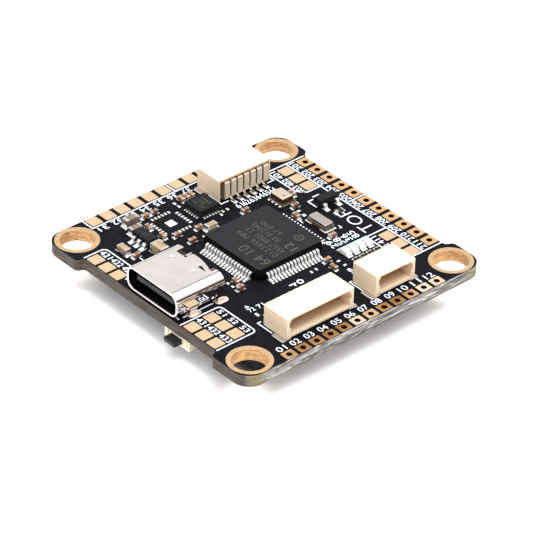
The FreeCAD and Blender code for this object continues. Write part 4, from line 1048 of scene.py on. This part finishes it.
# end joints of the lamps
for lo, hi in islands("status_led_bases"):
    my = (lo[1] + hi[1]) / 2
    for x, d in ((lo[0], -1), (hi[0], 1)):
        fillet(x, my, d, 0, (hi[1] - lo[1]) * 0.8, 0.18, 0.16, PAD_TOP)
solder.finish()

joints = Build("anchor_joints", "joint_copper", "tinned_lead", 50)
pillows = Build("solder_pillows", "solder", "tinned_lead", 50)
for lo, hi in islands("fine_pitch_lands"):
    sx, sy = hi[0] - lo[0], hi[1] - lo[1]
    mx, my = (lo[0] + hi[0]) / 2, (lo[1] + hi[1]) / 2
    if abs(mx + 11.10) < 2.4 and abs(my - 0.10) < 2.4:
        # only the outer end of each land shows past the leadless sensor
        ux, uy = (mx + 11.10, my - 0.10)
        if abs(ux) > abs(uy):
            dome(pillows, mx + math.copysign(sx * 0.22, ux), my, sx * 0.5, sy * 0.9, 0.05, PAD_TOP - 0.002)
        else:
            dome(pillows, mx, my + math.copysign(sy * 0.22, uy), sx * 0.9, sy * 0.5, 0.05, PAD_TOP - 0.002)
        continue
    if abs(mx + 0.42) < 7 and abs(my - 0.25) < 7:
        dome(pillows, mx, my, sx * (0.97 if sx > sy else 0.84), sy * (0.97 if sy > sx else 0.84), 0.035, PAD_TOP - 0.002)
        if sy > sx and my > 0.25:
            dome(pillows, mx, 6.74, 0.25, 0.22, 0.04, MASK_TOP)
        continue
    k = 0.84 if abs(mx + 11.05) < 2.6 and abs(my + 4.68) < 2.6 else 0.97
    dome(pillows, mx, my, sx * k, sy * k, 0.075, PAD_TOP - 0.002)
for lo, hi in islands("chip_lands"):
    sx, sy = hi[0] - lo[0], hi[1] - lo[1]
    h = 0.05 if min(sx, sy) > 0.6 else 0.06
    dome(pillows, (lo[0] + hi[0]) / 2, (lo[1] + hi[1]) / 2, sx * 0.97, sy * 0.97, h, PAD_TOP - 0.002)
for lo, hi in islands("underside_lands"):
    sx, sy = hi[0] - lo[0], hi[1] - lo[1]
    dome(pillows, (lo[0] + hi[0]) / 2, (lo[1] + hi[1]) / 2, sx * 0.97, sy * 0.97, 0.055, PAD_BOT + 0.002, -1)
for lo, hi in islands("usb_anchor_pads"):
    if hi[2] - lo[2] > 1.0:
        sx, sy = hi[0] - lo[0], hi[1] - lo[1]
        dome(joints, (lo[0] + hi[0]) / 2, (lo[1] + hi[1]) / 2, sx * 0.66, sy * 0.56, 0.07, PAD_TOP - 0.002, n=28)
pillows.finish()
joints.finish()

# what shows through each lamp's clear cap: the chip, its bond pad and the cathode mark
dies = Build("lamp_dies", "castellation", "led_lens")
tips = Build("lamp_cathode_marks", "cathode_green", "led_base")
for lo, hi in islands("status_led_lenses"):
    my, zt_ = (lo[1] + hi[1]) / 2, hi[2]
    x0, x1 = lo[0], hi[0]
    dies.prism(disc(x0 + 0.66, my + 0.10, 0.10, 12), zt_ - 0.01, zt_ + 0.003)
    dies.prism(disc(x0 + 0.86, my - 0.16, 0.07, 12), zt_ - 0.01, zt_ + 0.003)
    dies.prism([(x0 + 0.50, my - 0.30), (x0 + 0.64, my - 0.30), (x0 + 0.64, my - 0.18), (x0 + 0.50, my - 0.18)], zt_ - 0.01, zt_ + 0.003)
    tips.prism([(x0 + 0.03, my - 0.34), (x0 + 0.20, my - 0.34), (x0 + 0.20, my + 0.34), (x0 + 0.03, my + 0.34)], zt_ - 0.01, zt_ + 0.003)
dies.finish()
tips.finish()

# ------------------------------------------------------------------ floor, light, camera
floor_z = -3.0 * MM
bpy.ops.mesh.primitive_plane_add(size=6.0, location=(0, 0, floor_z))
floor = bpy.context.object
floor.name = "floor"
t = Tree("floor_painted_shadow")
g = t.noise(60, 3.0, 0.5)
# painted shadow: the floor is painted dark right under the board, as the corner hole shows, and a faint cool glow
# outside it keeps the shadows thin and light
edge = t.math("MAXIMUM", t.math("ABSOLUTE", t.axis(0)), t.math("ABSOLUTE", t.axis(1)))
out = t.remap(edge, 12.6 * MM, 14.6 * MM)
paper = t.mix(t.remap(g, 0.3, 0.7), (0.95, 0.95, 0.96), (0.935, 0.935, 0.94))
# painted shadow: dark brown base inside the board's footprint
t.set("Base Color", t.mix(out, (0.30, 0.26, 0.23), paper))
t.set("Roughness", 0.85)
t.set("Specular IOR Level", 0.1)
t.set("Emission Color", t.mix(out, (0.0, 0.0, 0.0), (0.92, 0.92, 1.0)))
t.b.inputs["Emission Strength"].default_value = 0.13
floor.data.materials.append(t.m)

world = bpy.data.worlds.new("studio")
bpy.context.scene.world = world
world.use_nodes = True
wt = world.node_tree
bg = wt.nodes["Background"]
wc = wt.nodes.new("ShaderNodeTexCoord")
ws = wt.nodes.new("ShaderNodeSeparateXYZ")
wt.links.new(wc.outputs["Generated"], ws.inputs[0])
wr = wt.nodes.new("ShaderNodeValToRGB")
wr.color_ramp.interpolation = "B_SPLINE"
SKY = [(0.0, 0.20), (0.16, 0.21), (0.32, 0.36), (0.46, 0.40), (0.64, 0.40), (0.78, 0.46), (0.86, 0.85), (0.93, 1.0), (1.0, 1.0)]
els = wr.color_ramp.elements
while len(els) > 1:
    els.remove(els[-1])
els[0].position, els[0].color = SKY[0][0], (SKY[0][1],) * 3 + (1,)
for p, v in SKY[1:]:
    e = els.new(p)
    e.color = (v, v, v, 1)
wt.links.new(ws.outputs[2], wr.inputs[0])


def wmath(op, a, b):
    n = wt.nodes.new("ShaderNodeMath")
    n.operation = op
    for i, v in enumerate((a, b)):
        if isinstance(v, (int, float)):
            n.inputs[i].default_value = v
        else:
            wt.links.new(v, n.inputs[i])
    return n.outputs[0]


def wstep(v, a, b, to0=0.0, to1=1.0):
    n = wt.nodes.new("ShaderNodeMapRange")
    n.interpolation_type = "SMOOTHSTEP"
    n.inputs["From Min"].default_value, n.inputs["From Max"].default_value = a, b
    n.inputs["To Min"].default_value, n.inputs["To Max"].default_value = to0, to1
    wt.links.new(v, n.inputs["Value"])
    return n.outputs["Result"]


dx, dy, dz = ws.outputs[0], ws.outputs[1], ws.outputs[2]
# gap between two soft boxes, and a brighter box on its +X side
gap = wmath("MULTIPLY", wstep(dx, -0.535, -0.505), wstep(dx, -0.415, -0.445))
gap = wmath("MULTIPLY", gap, wmath("MULTIPLY", wstep(dy, 0.30, 0.40), wstep(dz, 0.50, 0.58)))
gap = wmath("MULTIPLY", gap, wstep(dz, 0.84, 0.78))
box = wmath("MULTIPLY", wstep(dx, -0.44, -0.40), wmath("MULTIPLY", wstep(dy, 0.20, 0.35), wstep(dz, 0.40, 0.46)))
# the low part of the room on that side is dark
dark = wmath("MULTIPLY", wstep(dz, 0.40, 0.30), wmath("MULTIPLY", wstep(dx, 0.05, 0.30), wstep(dy, 0.05, 0.25)))
gain = wmath("MULTIPLY", wmath("SUBTRACT", 1.0, wmath("MULTIPLY", gap, 0.72)), wmath("ADD", 1.0, wmath("MULTIPLY", box, 0.25)))
gain = wmath("MULTIPLY", gain, wmath("SUBTRACT", 1.0, wmath("MULTIPLY", dark, 0.90)))
wv = wmath("MULTIPLY", wr.outputs[0], gain)
wt.links.new(wv, bg.inputs[0])
bg.inputs[1].default_value = 2.5


def area(name, loc, target, size, power, size_y=None, colour=(1, 1, 1)):
    l = bpy.data.lights.new(name, "AREA")
    l.shape = "RECTANGLE" if size_y else "SQUARE"
    l.size = size
    if size_y:
        l.size_y = size_y
    l.energy = power
    l.color = colour
    o = bpy.data.objects.new(name, l)
    bpy.context.scene.collection.objects.link(o)
    o.location = loc
    o.rotation_euler = (Vector(target) - Vector(loc)).to_track_quat("-Z", "Y").to_euler()
    return o


area("side_softbox", (0.07, 0.01, 0.385), (0, 0, 0), 0.24, 0.85)

az, el, roll = math.radians(48.2543), math.radians(34.3929), math.radians(1.30145)
tx, ty, dist = -0.326778, 1.879253, 377.388
back = Vector((math.sin(az) * math.cos(el), -math.cos(az) * math.cos(el), math.sin(el)))
right = Vector((math.cos(az), math.sin(az), 0))
up = back.cross(right)
cr, sr = math.cos(roll), math.sin(roll)
r0 = right * cr + up * sr
r1 = right * -sr + up * cr
rotm = Matrix((r0, r1, back)).transposed()
loc = rotm @ Vector((-tx, -ty, dist)) + Vector((0, 0, 1.5))
cam_data = bpy.data.cameras.new("camera")
cam_data.lens = 221.54
cam_data.sensor_width = 36.0
cam_data.clip_start = 0.01
cam_data.clip_end = 20
cam = bpy.data.objects.new("camera", cam_data)
bpy.context.scene.collection.objects.link(cam)
m4 = rotm.to_4x4()
m4.translation = loc * MM
cam.matrix_world = m4
bpy.context.scene.camera = cam
bpy.context.scene.view_settings.view_transform = "Standard"
bpy.context.scene.view_settings.look = "None"

bpy.context.view_layer.update()
